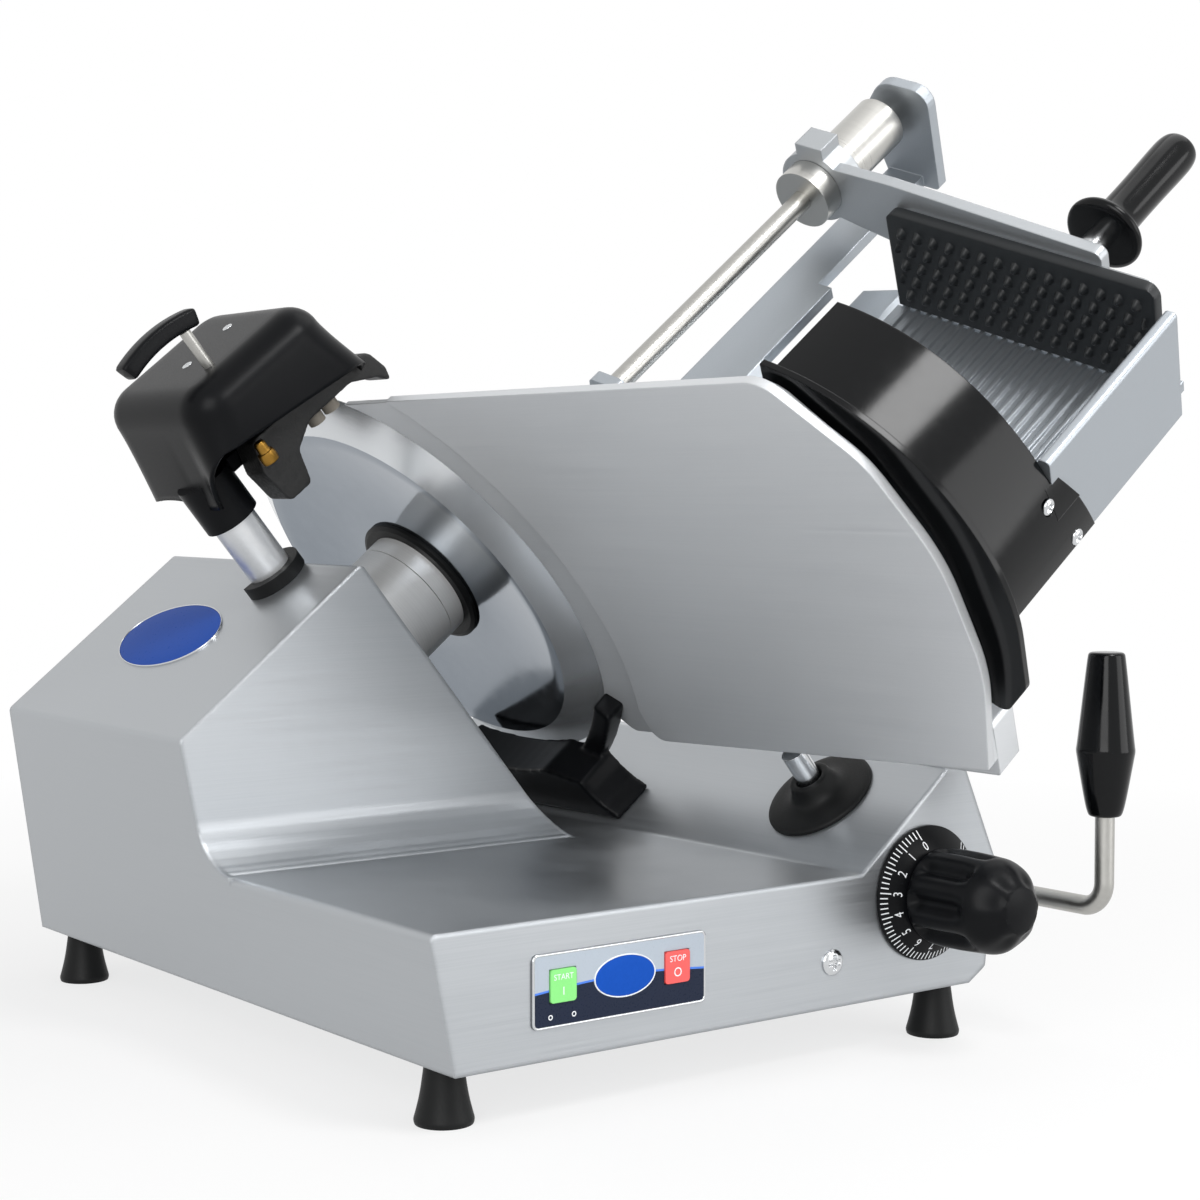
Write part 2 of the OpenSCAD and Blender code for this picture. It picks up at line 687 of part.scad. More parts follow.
module carriage_shaft() color("lightgray") placed() translate([slide_x, 0, slide_z])
  bar_y(slide_r, lip + 2, shaft_end);
module shaft_blocks() color("gray") placed() for (y = [lip, shaft_end - block_t + 2]) difference() {
  along_y(y, y + block_t) polygon([[slide_x - block_h, plate_t], [slide_x - 4, plate_t],
    [slide_x + block_h, slide_z - 8], [slide_x + block_h, slide_z + block_h],
    [slide_x - block_h, slide_z + block_h]]);
  translate([slide_x, 0, slide_z]) bar_y(slide_r, lip + 2, shaft_end);
}
module trolley() color("gray") difference() {
  placed() translate([slide_x - trolley_w / 2, trolley_y, slide_z - trolley_h / 2])
    cube([trolley_w, trolley_l, trolley_h]);
  placed() translate([slide_x, 0, slide_z]) bar_y(slide_r + bush_t, trolley_y - 1, trolley_y + trolley_l + 1);
}
module trolley_bushes() color("goldenrod") placed() for (y = [trolley_y, trolley_y + trolley_l - 20])
  translate([slide_x, 0, slide_z]) difference() {
    bar_y(slide_r + bush_t, y, y + 20);
    bar_y(slide_r + run, y - 1, y + 21);
  }
// Arm from the trolley, out through the right flank and up to the table
module carriage_arm() color("silver") difference() {
  union() {
    placed() along_y(arm_y, arm_y + arm_w) polygon(rounded([
      [slide_x + trolley_w / 2, arm_z], [arm_x + arm_t, arm_z], [arm_x + arm_t, arm_knee_z],
      [arm_x - 10, arm_top_z], [arm_x - 130, arm_top_z], [arm_x - 30, arm_knee_z + 20],
      [arm_x, arm_knee_z - 50], [arm_x, arm_z + 16], [slide_x + trolley_w / 2, arm_z + 16]
    ], [0, 8, 40, 0, 0, 20, 20, 6, 0]));
    // Bracket under the floor
    trough() translate([bracket_d, 40, -floor_t - bracket_h]) cube([60, table_w - 8, bracket_h]);
  }
  trough() translate([0, -500, -floor_t]) cube([1000, 1000, 500]);
  placed() translate([handle_x, 0, handle_z]) bar_y(handle_rod_r, arm_y - 1, arm_y + 14);
}
// Floor with ribs along the feed, front wall, back rail and the two lugs for the rod
module product_table() color("lightgray") trough() {
  along_x(floor_from, floor_to) polygon(concat(
    [[table_w, -floor_t], [table_w, 0]],
    [for (i = [floor((table_w - 8) / rib_pitch):-1:1], p = [[2.4, 0], [1.2, rib_h], [-1.2, rib_h], [-2.4, 0]])
      [i * rib_pitch + p[0], p[1]]],
    [[0, 0], [0, -floor_t]]));
  along_x(wall_from, wall_to) table_wall();
  // The wall runs on under the guard
  along_x(wall_hidden, wall_from) intersection() {
    table_wall();
    translate([guard_s, guard_q]) circle(r = guard_r - guard_t - gap, $fn = 128);
  }
  along_x(rail_from, web_to) polygon([[table_w, -floor_t], [table_w + 8, -floor_t], [rail_s + 4, rail_q],
    [rail_s + 4, rail_q + rail_t], [rail_s - shelf_w, rail_q + rail_t], [table_w, 0]]);
  translate([rail_from, rail_s - shelf_w, rail_q]) cube([shelf_to - rail_from, shelf_w, rail_t]);
  translate([rail_from, rail_s, rail_q]) cube([rail_to - rail_from, rail_w, rail_t]);
  rod_lug(rail_from, [[rail_s, rail_q], [rail_s + rail_w, rail_q], [rod_s + 12, rod_q],
    [rod_s + 10, rod_q + 10], [rod_s - 10, rod_q + 10]], 3);
  rod_lug(rail_to - lug_t, [[rail_s - 12, rail_q], [rail_s + rail_w, rail_q], [rail_s + rail_w + 14, rod_q],
    [rail_s + rail_w - 2, rod_q + 26], [rail_s - 12, rod_q + 26]], [3, 3, 10, 16, 12]);
}
module table_wall() polygon(rounded(
  [[-wall_t, -3], [0, -3], [0, table_wall_h], [-wall_t, table_wall_h]], [2, 0, 3, 3]));
module rod_lug(d, pts, radii) difference() {
  along_x(d, d + lug_t) polygon(rounded(pts, radii));
  translate([0, rod_s, rod_q]) bar_x(rod_r, d - 1, d + lug_t + 1);
}
// Arched guard between the table and the knife, with a flat flange facing the gauge plate
module knife_guard() color("black") trough() {
  difference() {
    intersection() {
      along_x(guard_from, tab_to) guard_arch(guard_t);
      along_y(guard_s - guard_r - 1, guard_s) polygon([[guard_from, 0], [tab_to, 0], [tab_to, guard_q],
        [tab_to - 9, tab_top], [wall_from - gap, tab_top], [guard_to, guard_q + 85], [guard_to, 200],
        [guard_from, 200]]);
    }
    at_guard_screws() bar_y(screw_r + run, -20, 20);
    at_guard_screws() bar_y(5.3, -20, 0.5);
  }
  // Flange facing the gauge plate, drawn out to a tip below
  along_x(guard_from, guard_from + flange_t) guard_arch(flange_w, guard_r + flange_out);
  along_x(guard_from, guard_from + flange_t)
    polygon(rounded([[guard_s - guard_r - flange_out, guard_q], [guard_s - guard_r - flange_out, -26],
      [-12, -55], [10, -46], [guard_s - guard_r + flange_w - flange_out, guard_q]], [0, 12, 8, 8, 0]));
}
module guard_arch(w, r = guard_r) translate([guard_s, guard_q]) intersection() {
  difference() {
    circle(r = r, $fn = 128);
    circle(r = r - w, $fn = 128);
  }
  translate([-r - 1, 0]) square([r + 1, r + 1]);
}
module at_guard_screws() for (p = [[wall_from - 9, 52], [wall_from + 6, 18]])
  translate([p[0], guard_s - sqrt(guard_r * guard_r - (p[1] - guard_q) * (p[1] - guard_q)), p[1]]) children();
module guard_screws() color("silver") trough() at_guard_screws() {
  bar_y(5, -2, 0.5);
  bar_y(screw_r, 0, guard_t - gap);
}
module slide_rod() color("lightgray") trough() translate([0, rod_s, rod_q]) bar_x(rod_r, rail_from, rail_to);
module handle_rod() color("lightgray") placed() translate([handle_x, 0, handle_z]) {
  bar_y(handle_rod_r, handle_y + bend_handle_r, arm_y + 14);
  translate([0, handle_y + bend_handle_r, bend_handle_r]) rotate([90, 0, 90]) rotate([0, 0, 180])
    rotate_extrude(angle = 90) translate([bend_handle_r, 0]) circle(r = handle_rod_r);
  translate([0, handle_y, bend_handle_r])
    cylinder(r = handle_rod_r, h = grip_z + 30 - handle_z - bend_handle_r);
}
module handle_grip() color("black") placed() translate([handle_x, handle_y, grip_z])
  rotate_extrude() polygon([
    [handle_rod_r, 0], [9, 0], [10.5, 2], [17, grip_h * 0.36], [18, grip_h * 0.4], [17.6, grip_h * 0.45],
    [11.5, grip_h - 3], [9.5, grip_h], [0, grip_h], [0, 30], [handle_rod_r, 30]
  ]);

// Pusher

module on_rod() trough() translate([0, rod_s, rod_q]) children();
module pusher_sleeve() color("silver") on_rod() difference() {
  union() {
    bar_x(collar_r, arm_d - gap - collar_len, arm_d - gap);
    bar_x(sleeve_r, arm_d - gap, sleeve_end);
  }
  bar_x(rod_r + run, arm_d - collar_len - 1, sleeve_end + 1);
}
module pusher_arm() color("silver") trough() difference() {
  union() {
    along_x(arm_d, arm_d + arm_plate_t) polygon(rounded([
      [rod_s, rod_q - 16], [rod_s, rod_q + 18], [200, pusher_q + pusher_h + 12],
      [52, pusher_q + pusher_h + 6], [52, pusher_q + 40], [190, pusher_q + 40]], [0, 0, 20, 6, 6, 20]));
    translate([0, rod_s, rod_q]) bar_x(arm_ring_r, arm_d, arm_d + arm_ring_len);
    translate([arm_d, rod_s - 10, rod_q + 18]) cube([arm_ring_len, 20, 13]);
  }
  translate([0, rod_s, rod_q]) bar_x(sleeve_r + run, arm_d - 1, arm_d + arm_ring_len + 1);
}
module pusher_backing() color("gray") trough() along_x(arm_d - steel_t, arm_d)
  pusher_face(2);
module pusher_face(w) translate([pusher_s + w, pusher_q + w])
  polygon(rounded([[0, 0], [pusher_w - 2 * w, 0], [pusher_w - 2 * w, pusher_h - 2 * w],
    [0, pusher_h - 2 * w]], [4, 4, 10, 10]));
module pusher_pad() color("dimgray") trough() {
  along_x(pusher_d, arm_d - steel_t) pusher_face(0);
  for (c = [0:stud_cols - 1], r = [0:stud_rows - 1])
    translate([pusher_d, pusher_s + 14 + (pusher_w - 34) * c / (stud_cols - 1) + 6 * (r % 2),
      pusher_q + 12 + (pusher_h - 26) * r / (stud_rows - 1)])
      rotate([0, -90, 0]) cylinder(r1 = stud_r, r2 = 0.8, h = stud_h, $fn = 16);
}
module on_grip() trough() translate([arm_d + arm_plate_t, grip_s, grip_q]) rotate([0, 90, 0]) children();
module pusher_stem() color("lightgray") on_grip() cylinder(r = stem_r, h = stem_len + 30);
module pusher_grip() color("black") on_grip() translate([0, 0, stem_len]) rotate_extrude() polygon([
  [stem_r, 0], [15, 0], [23, 2], [24, 5], [22, 8], [13, 11], [10.6, 16], [10.4, 40],
  [11.8, pusher_grip_len - 12], [10.5, pusher_grip_len - 4], [7, pusher_grip_len], [0, pusher_grip_len],
  [0, 30], [stem_r, 30]
]);

// Sharpener

module on_post() tilted() translate([sharp_d, sharp_y, 0]) children();
module sharpener_post() color("lightgray") on_post() translate([0, 0, -casing_t - 12])
  cylinder(r = sharp_post_r, h = sharp_post_h + casing_t + 12);
module post_ring() color("black") on_post() difference() {
  cylinder(r = ring_r, h = ring_t);
  translate([0, 0, -1]) cylinder(r = sharp_post_r + gap, h = ring_t + 2);
  rotate([0, 0, 80]) translate([0, 0, -1]) cube([2 * ring_r, 2 * ring_r, ring_t + 2]);
}
// Clamp that slides on the post and carries the head
module sharpener_holder() color("black") on_post() difference() {
  union() {
    translate([0, 0, sharp_post_h - holder_h]) cylinder(r = holder_r, h = holder_h + holder_over);
    translate([0, fork_y + fork_w + gap - sharp_y, sharp_post_h - 2]) cube([60, 22, holder_over + 2]);
    // Boss that the hood is screwed to
    translate([boss_d - sharp_d, boss_y - sharp_y, sharp_post_h])
      cylinder(r = boss_r, h = cover_h - cover_t - gap - sharp_post_h);
  }
  translate([0, 0, sharp_post_h - holder_h - 1]) cylinder(r = sharp_post_r + run, h = holder_h + 1.5);
}
// Moulded hood, open underneath, its rim higher towards the operator
module sharpener_cover() color("black") tilted() difference() {
  cover_volume(0);
  cover_volume(cover_t);
  // Rim, cut on a slant
  translate([cover_d + cover_len / 2, cover_y, cover_low]) rotate([0, rim_lean, 0])
    along_x(-cover_len, cover_len) polygon([[-1, -cover_low], [cover_w + 1, -cover_low],
      [cover_w + 1, cover_back - cover_low], [-1, cover_front - cover_low]]);
  translate([stem_d, stem_y, cover_h - 10]) cylinder(r = lever_stem_r + run, h = 20);
  // Openings for the holder on its post and for the fork's outer prong
  translate([sharp_d, sharp_y, 0]) cylinder(r = holder_r + gap, h = sharp_post_h + holder_over);
  translate([fork_d + fork_bridge_r, fork_y - gap, 0])
    cube([fork_len, fork_w + 2 * gap, fork_top + 3]);
}
// Body with rounded shoulders, drawn in by w
module cover_volume(w) hull() for (y = [cover_y + cover_round, cover_y + cover_w - cover_round]) {
  for (d = [cover_d + cover_round, cover_d + cover_len - cover_round])
    for (p = [[0.4, 0], [0.75, 4], [1, 14]])
      translate([d, y, cover_h - p[1] - 1 - w]) cylinder(r = cover_round * p[0] - w / 2, h = 1, $fn = 32);
  for (d = [cover_d - cover_flare_l + cover_round, cover_d + cover_len + cover_flare_r - cover_round])
    translate([d, y, cover_low - (w > 0 ? 1 : 0)]) cylinder(r = cover_round - w, h = 2, $fn = 32);
}
// Arched carrier with one prong on each side of the knife's rim
module stone_fork() color("dimgray") tilted() difference() {
  along_y(fork_y, fork_y + fork_w) polygon(rounded([
    [fork_d, fork_low], [fork_d + 20, fork_low], [fork_d + 26, fork_under - 10],
    [fork_d + fork_bridge_l, fork_under], [fork_d + fork_bridge_r, fork_under],
    [fork_d + fork_len - 9, fork_under - 10], [fork_d + fork_len - 2, fork_low + 14],
    [fork_d + fork_len, fork_low + 24], [fork_d + fork_len - 5, fork_top - 8],
    [fork_d + fork_bridge_r + 2, fork_top], [fork_d + 2, fork_top], [fork_d - 4, fork_under - 6]
  ], [4, 4, 4, 8, 8, 6, 1, 4, 8, 8, 4, 4]));
  for (d = stone_ds) translate([d, fork_y + fork_w / 2, 0]) cylinder(r = stone_pin_r + run, h = 2 * fork_top);
}
module sharpening_stones() color("gray") tilted() for (d = stone_ds) translate([d, fork_y + fork_w / 2, 0]) {
  translate([0, 0, fork_under - stone_t]) cylinder(r = stone_r, h = stone_t - gap);
  translate([0, 0, fork_under - gap]) cylinder(r = stone_pin_r, h = fork_top - fork_under + 6);
}
module on_lever() tilted() translate([stem_d, stem_y, 0]) children();
module lever_stem() color("lightgray") on_lever() translate([0, 0, cover_h - 30])
  cylinder(r = lever_stem_r, h = lever_h - cover_h + 30);
// Curved finger bar across the stem
module lever_grip() color("black") on_lever() difference() {
  translate([-lever_off, -lever_w / 2, lever_h - lever_curve_r + 2]) along_y(0, lever_w) polygon(concat(
    arc([0, 0], lever_curve_r, 90 - lever_half, 90 + lever_half, 12),
    arc([0, 0], lever_curve_r + lever_t, 90 + lever_half, 90 - lever_half, 12)));
  translate([0, 0, cover_h]) cylinder(r = lever_stem_r, h = lever_h - cover_h);
}

base_casing();
bottom_plate();
feet();
foot_screws();
control_panel();
switch_module();
housing_badge();
front_screw();
hub_housing();
hub_bearings();
motor();
motor_bracket();
drive_belt();
knife_deflector();
sharpener_post();
post_ring();
carriage_shaft();
shaft_blocks();
guide_rods();
guide_blocks();
knife_arbor();
arbor_pulley();
knife_hub();
hub_seal();
knife();
knife_screws();
motor_pulley();
gauge_plate();
gauge_post();
post_boot();
gauge_slider();
index_knob();
index_dial();
index_shaft();
index_cam();
trolley();
trolley_bushes();
carriage_arm();
product_table();
knife_guard();
guard_screws();
slide_rod();
handle_rod();
handle_grip();
pusher_sleeve();
pusher_arm();
pusher_backing();
pusher_pad();
pusher_stem();
pusher_grip();
sharpener_holder();
sharpener_cover();
stone_fork();
sharpening_stones();
lever_stem();
lever_grip();
start_pad();
stop_pad();
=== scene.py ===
# %% [markdown]
# # A food slicer, dressed around its CAD frame
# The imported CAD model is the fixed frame: every node already sits in the right place, in metres.
# A scene could also be modelled from nothing, but then each piece would have to be fitted by eye.
# Here the solids that are right keep their shape and get a finish, and the moulded, turned and
# printed pieces are worked out again as smooth surfaces.

import bmesh
import bpy
import numpy as np
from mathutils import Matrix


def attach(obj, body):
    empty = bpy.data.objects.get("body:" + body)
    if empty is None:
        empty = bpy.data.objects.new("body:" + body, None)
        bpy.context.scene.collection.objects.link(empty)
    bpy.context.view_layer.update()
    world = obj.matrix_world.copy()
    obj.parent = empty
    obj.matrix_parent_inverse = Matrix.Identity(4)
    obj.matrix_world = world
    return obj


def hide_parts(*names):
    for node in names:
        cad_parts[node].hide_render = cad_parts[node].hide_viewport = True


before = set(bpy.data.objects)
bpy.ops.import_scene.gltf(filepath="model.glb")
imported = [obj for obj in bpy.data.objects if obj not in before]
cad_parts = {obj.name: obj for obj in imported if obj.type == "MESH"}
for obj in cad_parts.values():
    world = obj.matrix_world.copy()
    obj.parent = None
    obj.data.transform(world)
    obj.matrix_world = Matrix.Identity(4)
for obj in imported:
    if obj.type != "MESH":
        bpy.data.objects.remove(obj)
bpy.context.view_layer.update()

# %% [markdown]
# ## Three frames of reference
# The machine is tilted: the knife's shaft leans, and the table leans once more towards the operator.
# Each piece is easiest to describe in the frame where it is straight, in millimetres.
# Three functions then carry whole arrays of points into the machine's own frame, in metres.

# %% From a drawing's millimetres to metres
MM = 0.001
TILT = np.radians(39.1)
ROLL = np.radians(23.7)
FOOT = np.array([16.0, 35.0, -34.0])
RIDGE = np.array([96.024, 0.0, 264.692])
TABLE_CORNER = np.array([0.0, -134.0, -127.0])


def placed(p):
    """Moves points from the base's front left corner to the foot's centre, and to metres."""
    return (np.asarray(p, float) - FOOT) * MM


def tilted(p):
    """Turns (out along the knife shaft, back, up the slope) by the tilt, and sets it on the ridge."""
    d, y, h = np.moveaxis(np.asarray(p, float), -1, 0)
    lean = np.stack([d * np.cos(TILT) - h * np.sin(TILT), y, d * np.sin(TILT) + h * np.cos(TILT)], -1)
    return placed(lean + RIDGE)


def trough(p):
    """Turns (along the feed, back along the floor, up from it) by the roll, then tilts it."""
    d, s, q = np.moveaxis(np.asarray(p, float), -1, 0)
    lean = np.stack([d, s * np.cos(ROLL) - q * np.sin(ROLL), s * np.sin(ROLL) + q * np.cos(ROLL)], -1)
    return tilted(lean + TABLE_CORNER)


print("ridge:", tilted([0, 0, 0]).round(4), "table's corner:", trough([0, 0, 0]).round(4))

# %% [markdown]
# ## From grids of points to meshes
# Nearly every piece is a grid: a profile turned round an axis, or an outline carried through levels.
# Modelling tools could push the vertices, but a formula on whole arrays is exact and easy to change.
# The helpers join grids into one mesh, close their poles and turn the faces outwards.

# %% Grids, eased outlines and turned profiles
def patch(points, wrap_u=False, wrap_v=False):
    """Joins each point of a grid with its next neighbours along both parameters into a face."""
    rows, cols = points.shape[:2]
    ids = np.arange(rows * cols).reshape(rows, cols)
    ids = np.concatenate([ids, ids[:1]], 0) if wrap_u else ids
    ids = np.concatenate([ids, ids[:, :1]], 1) if wrap_v else ids
    quads = np.stack([ids[:-1, :-1], ids[:-1, 1:], ids[1:, 1:], ids[1:, :-1]], -1)
    return points.reshape(-1, 3), quads.reshape(-1, 4).tolist()


def full_turn(steps):
    """Angles of even steps once round."""
    return np.linspace(0, 2 * np.pi, steps, endpoint=False)


def eased(points, times=3):
    """Cuts the corners of a line: each side gives two points, a quarter in from its two ends."""
    p = np.asarray(points, float)
    for _ in range(times):
        a, b = p[:-1], p[1:]
        cut = np.stack([0.75 * a + 0.25 * b, 0.25 * a + 0.75 * b], 1).reshape(-1, p.shape[1])
        p = np.vstack([p[:1], cut, p[-1:]])
    return p


def turned(profile, where, axis, at, steps):
    """Turns a profile of (radius, height) round one axis of a frame, at a point of that frame."""
    r, z = np.asarray(profile, float).T[:, :, None]
    angle = full_turn(steps)
    ring = [r * np.cos(angle), r * np.sin(angle)]
    ring.insert(axis, z + 0 * angle)
    return patch(where(np.stack(ring, -1) + np.asarray(at, float)), wrap_v=True)


def border(grid):
    """The points along the four sides of a grid, once round."""
    return np.concatenate([grid[0], grid[1:, -1], grid[-1, -2::-1], grid[-2:0:-1, 0]])


print("a grid of 3 by 4 points has", len(patch(np.zeros((3, 4, 3)))[1]), "faces")

# %% [markdown]
# A piece is one object. It rides on a body and may stand in for CAD nodes.

# %% Pieces
MERGE_M, SLIVER_M = 1e-6, 1e-7


def piece(name, patches, material, body, nodes=(), sharp=35):
    """Makes one object of some patches, rides it on its body and puts it in place of CAD nodes."""
    mesh = bpy.data.meshes.new(name)
    first = np.cumsum([0] + [len(v) for v, _ in patches[:-1]])
    faces = [[i + k for i in f] for k, (_, part) in zip(first.tolist(), patches) for f in part]
    mesh.from_pydata(np.vstack([v for v, _ in patches]).tolist(), [], faces)
    bm = bmesh.new()
    bm.from_mesh(mesh)
    bmesh.ops.remove_doubles(bm, verts=bm.verts, dist=MERGE_M)
    bmesh.ops.dissolve_degenerate(bm, edges=bm.edges, dist=SLIVER_M)
    bmesh.ops.recalc_face_normals(bm, faces=bm.faces)
    bm.to_mesh(mesh)
    bm.free()
    mesh.shade_smooth()
    mesh.set_sharp_from_angle(angle=np.radians(sharp))
    mesh.materials.append(material)
    obj = bpy.data.objects.new(name, mesh)
    bpy.context.scene.collection.objects.link(obj)
    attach(obj, body)
    if nodes:
        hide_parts(*nodes)
    print(name, len(mesh.polygons), "faces on", body)
    return obj


print("points nearer than", MERGE_M, "m become one")

# %% [markdown]
# ## Camera
# The picture was taken from the front left, a little above the deck, with a long lens.
# The place and the lens were worked out from edges whose real directions are known.

# %% Camera
LENS_MM, SENSOR_MM = 69.21, 36
CAMERA_AT, PITCH_DOWN, YAW_RIGHT = (-0.6872, -1.0444, 0.3492), 2.88, 37.26
cam = bpy.data.cameras.new("camera")
cam.lens = LENS_MM
cam.sensor_width = SENSOR_MM
camera = bpy.data.objects.new("camera", cam)
camera.location = CAMERA_AT
camera.rotation_euler = np.radians([90 - PITCH_DOWN, 0, -YAW_RIGHT])
bpy.context.scene.collection.objects.link(camera)
bpy.context.scene.camera = camera
bpy.context.scene.view_settings.view_transform = "Standard"
print("camera at", CAMERA_AT, "looking", PITCH_DOWN, "degrees down")

# %% [markdown]
# ## Finishes
# A finish starts from the real material and how its surface was made.
# Sheet steel is ground with a belt, so fine scratches run one way; moulded plastic has a fine texture.
# One helper adds a node with its settings and links, and one recipe serves most finishes: stretched
# noise moves the tone, the roughness and a shallow bump, and a bevel rounds the edges that are lit.

# %% Shader helpers
def srgb(code):
    """Turns an sRGB hex code into the linear colour that a shader socket holds."""
    v = np.array([int(code[i:i + 2], 16) for i in (1, 3, 5)]) / 255
    return (*np.where(v <= 0.04045, v / 12.92, ((v + 0.055) / 1.055) ** 2.4).tolist(), 1.0)


def add(tree, kind, sockets=None, **settings):
    """Adds a node: settings are its properties, sockets hold values or the outputs that feed it."""
    node = tree.nodes.new("ShaderNode" + kind)
    for key, value in settings.items():
        setattr(node, key, value)
    for key, value in (sockets or {}).items():
        if isinstance(value, bpy.types.NodeSocket):
            tree.links.new(value, node.inputs[key])
        else:
            node.inputs[key].default_value = value
    return node


def blank(name):
    """A new material with only its output and a Principled shader."""
    made = bpy.data.materials.new(name)
    made.use_nodes = True
    return made, made.node_tree, made.node_tree.nodes["Principled BSDF"]


print("mid grey in linear light:", srgb("#808080")[:3])

# %% [markdown]
# The recipe reads Object coordinates, so a grain keeps its size in millimetres on every piece.
# The constants go on the shader's own sockets, where an export finds them.

# %% The recipe for a finish
def finish(name, light, dark, rough, grain, metallic=0.0, spread=0.05, bump=0.15, depth=0.03,
           edge=0.5, lean=0.0, sheen=0.5):
    """A finish from noise whose grains are grain millimetres long on X, Y and Z.

    The noise mixes two tones, moves the roughness by spread either way and lifts the surface by
    depth millimetres. The bevel gives lit edges the radius edge, lean turns the grain about Y, and
    sheen is the strength of the mirror on plastics.
    """
    made, tree, shader = blank(name)
    spot = add(tree, "TexCoord").outputs["Object"]
    spot = add(tree, "Mapping", {"Vector": spot, "Rotation": (0, -lean, 0),
                                 "Scale": [g * MM for g in grain]}, vector_type="TEXTURE").outputs[0]
    noise = add(tree, "TexNoise", {"Vector": spot, "Scale": 1.0, "Detail": 3.0, "Roughness": 0.6})
    noise = noise.outputs["Fac"]
    tone = add(tree, "Mix", {"Factor": noise, 6: srgb(dark), 7: srgb(light)}, data_type="RGBA").outputs[2]
    level = add(tree, "MapRange", {"Value": noise, "From Min": 0.3, "From Max": 0.7,
                                   "To Min": rough - spread, "To Max": rough + spread}).outputs[0]
    round_edge = add(tree, "Bevel", {"Radius": edge * MM}, samples=6).outputs[0]
    lift = add(tree, "Bump", {"Strength": bump, "Distance": depth * MM, "Height": noise,
                              "Normal": round_edge})
    tree.links.new(tone, shader.inputs["Base Color"])
    tree.links.new(level, shader.inputs["Roughness"])
    tree.links.new(lift.outputs[0], shader.inputs["Normal"])
    shader.inputs["Metallic"].default_value = metallic
    shader.inputs["Specular IOR Level"].default_value = sheen
    return made


print("materials so far:", len(bpy.data.materials))

# %% [markdown]
# The metals: a belt-ground casing, a satin gauge plate, a cast table, turned rods and a polished knife.
# The grain of the sheet is about 0.1 mm wide in life, too fine for the picture, so it is drawn wider.

# %% Sheet and cast metals
# Level scratches and a soft broad mirror; the wide edge is the sheet's bend.
steel_sheet = finish("belt-ground stainless sheet", "#B4B7BA", "#A4A8AC", rough=0.36, grain=(90, 90, 0.7),
                     metallic=0.85, spread=0.06, bump=0.2, edge=4.0)
# Paler and flatter than the casing, with hardly a reflection.
gauge_satin = finish("satin anodised aluminium", "#D6D8DA", "#CACDD0", rough=0.5, grain=(120, 120, 0.8),
                     metallic=0.6, edge=1.4)
# An even grey with a very fine tooth.
cast_satin = finish("blasted and anodised aluminium", "#AEB3B8", "#9EA4AA", rough=0.42,
                    grain=(0.9, 0.9, 0.9), metallic=0.9, depth=0.04, edge=1.2)
# Smoother than the table, so that its edges catch the light.
arm_satin = finish("polished aluminium casting", "#B2B5B8", "#A7ABAE", rough=0.4, grain=(1.2, 1.2, 1.2),
                   metallic=0.75, bump=0.1, edge=1.2)
print("finishes:", len(bpy.data.materials))

# %% [markdown]
# A turned face has fine rings round its axis, so its grain is short along that axis and long across it.
# Ground and polished pieces have no grain that the eye can follow; there the roughness does the work.

# %% Turned and ground metals
# Fine rings round the hub's axis, pale and soft.
turned_steel = finish("fine-turned steel", "#ECECEB", "#DADAD9", rough=0.38, grain=(0.6, 90, 90),
                      metallic=0.42, spread=0.06, bump=0.12, depth=0.02, edge=0.6, lean=TILT)
# One soft light band along the bar.
satin_rod = finish("satin ground bar", "#DEDFE0", "#D2D4D6", rough=0.34, grain=(3, 3, 3),
                   metallic=0.8, spread=0.04, bump=0.03, depth=0.02)
# A warm grey with a broad band of light.
drawn_rod = finish("drawn stainless rod", "#B4B3AF", "#A8A7A3", rough=0.36, grain=(3, 3, 3),
                   metallic=1.0, spread=0.04, bump=0.0, depth=0.02)
# Faint rings and a clear band of light.
sleeve_steel = finish("honed steel sleeve", "#C2C1BD", "#B6B5B1", rough=0.3, grain=(1.6, 90, 90),
                      metallic=1.0, spread=0.03, bump=0.04, depth=0.01, edge=0.6, lean=TILT)
# A clear mirror with narrow lights.
bright_rod = finish("ground and chromed rod", "#D0D2D4", "#C8CACC", rough=0.18, grain=(3, 3, 3),
                    metallic=1.0, spread=0.02, bump=0.02, depth=0.02)
# A clear mirror that shows the hub and the floor, its tone darkened as painted shade for the dark
# surroundings it reflects.
knife_mirror_painted_shade = finish("mirror-polished knife steel darkened as painted shade", "#8E959D", "#858C94", rough=0.12, grain=(14, 14, 14),
                      metallic=1.0, spread=0.03, bump=0.03, depth=0.02, edge=0.2)
# Paler than the disc as a painted highlight, and a little blurred by the stone.
bevel_painted_highlight = finish("ground knife bevel paled as painted highlight", "#E2E5E8", "#DADDE0", rough=0.24, grain=(14, 14, 14),
                      metallic=0.75, spread=0.02, bump=0.0, depth=0.02, edge=0.2)
# Plain grey with faint tool marks.
plain_steel = finish("machined steel", "#A9ABAD", "#95989B", rough=0.36, grain=(1.5, 1.5, 1.5),
                     metallic=1.0, spread=0.06)
# Brown and dull, with open pores.
bronze = finish("sintered bronze", "#A67C45", "#8C6838", rough=0.4, grain=(0.7, 0.7, 0.7),
                metallic=1.0, spread=0.06, bump=0.2, edge=0.4)
# Yellow, with fine marks of the tool.
brass = finish("turned brass", "#A27C38", "#7E5C26", rough=0.36, grain=(0.6, 0.6, 0.6),
               metallic=1.0, bump=0.2, edge=0.4)
print("finishes:", len(bpy.data.materials))

# %% [markdown]
# The blacks: gloss acrylic on the guard, moulded ABS on the hood and the knob, rubber on the feet.
# They differ by roughness and texture much more than by colour.

# %% Blacks
# A deep black with clear, hard lights.
gloss_black = finish("gloss black acrylic", "#08090B", "#060708", rough=0.14, grain=(6, 6, 6),
                     spread=0.02, bump=0.0, depth=0.02, edge=0.9, sheen=0.2)
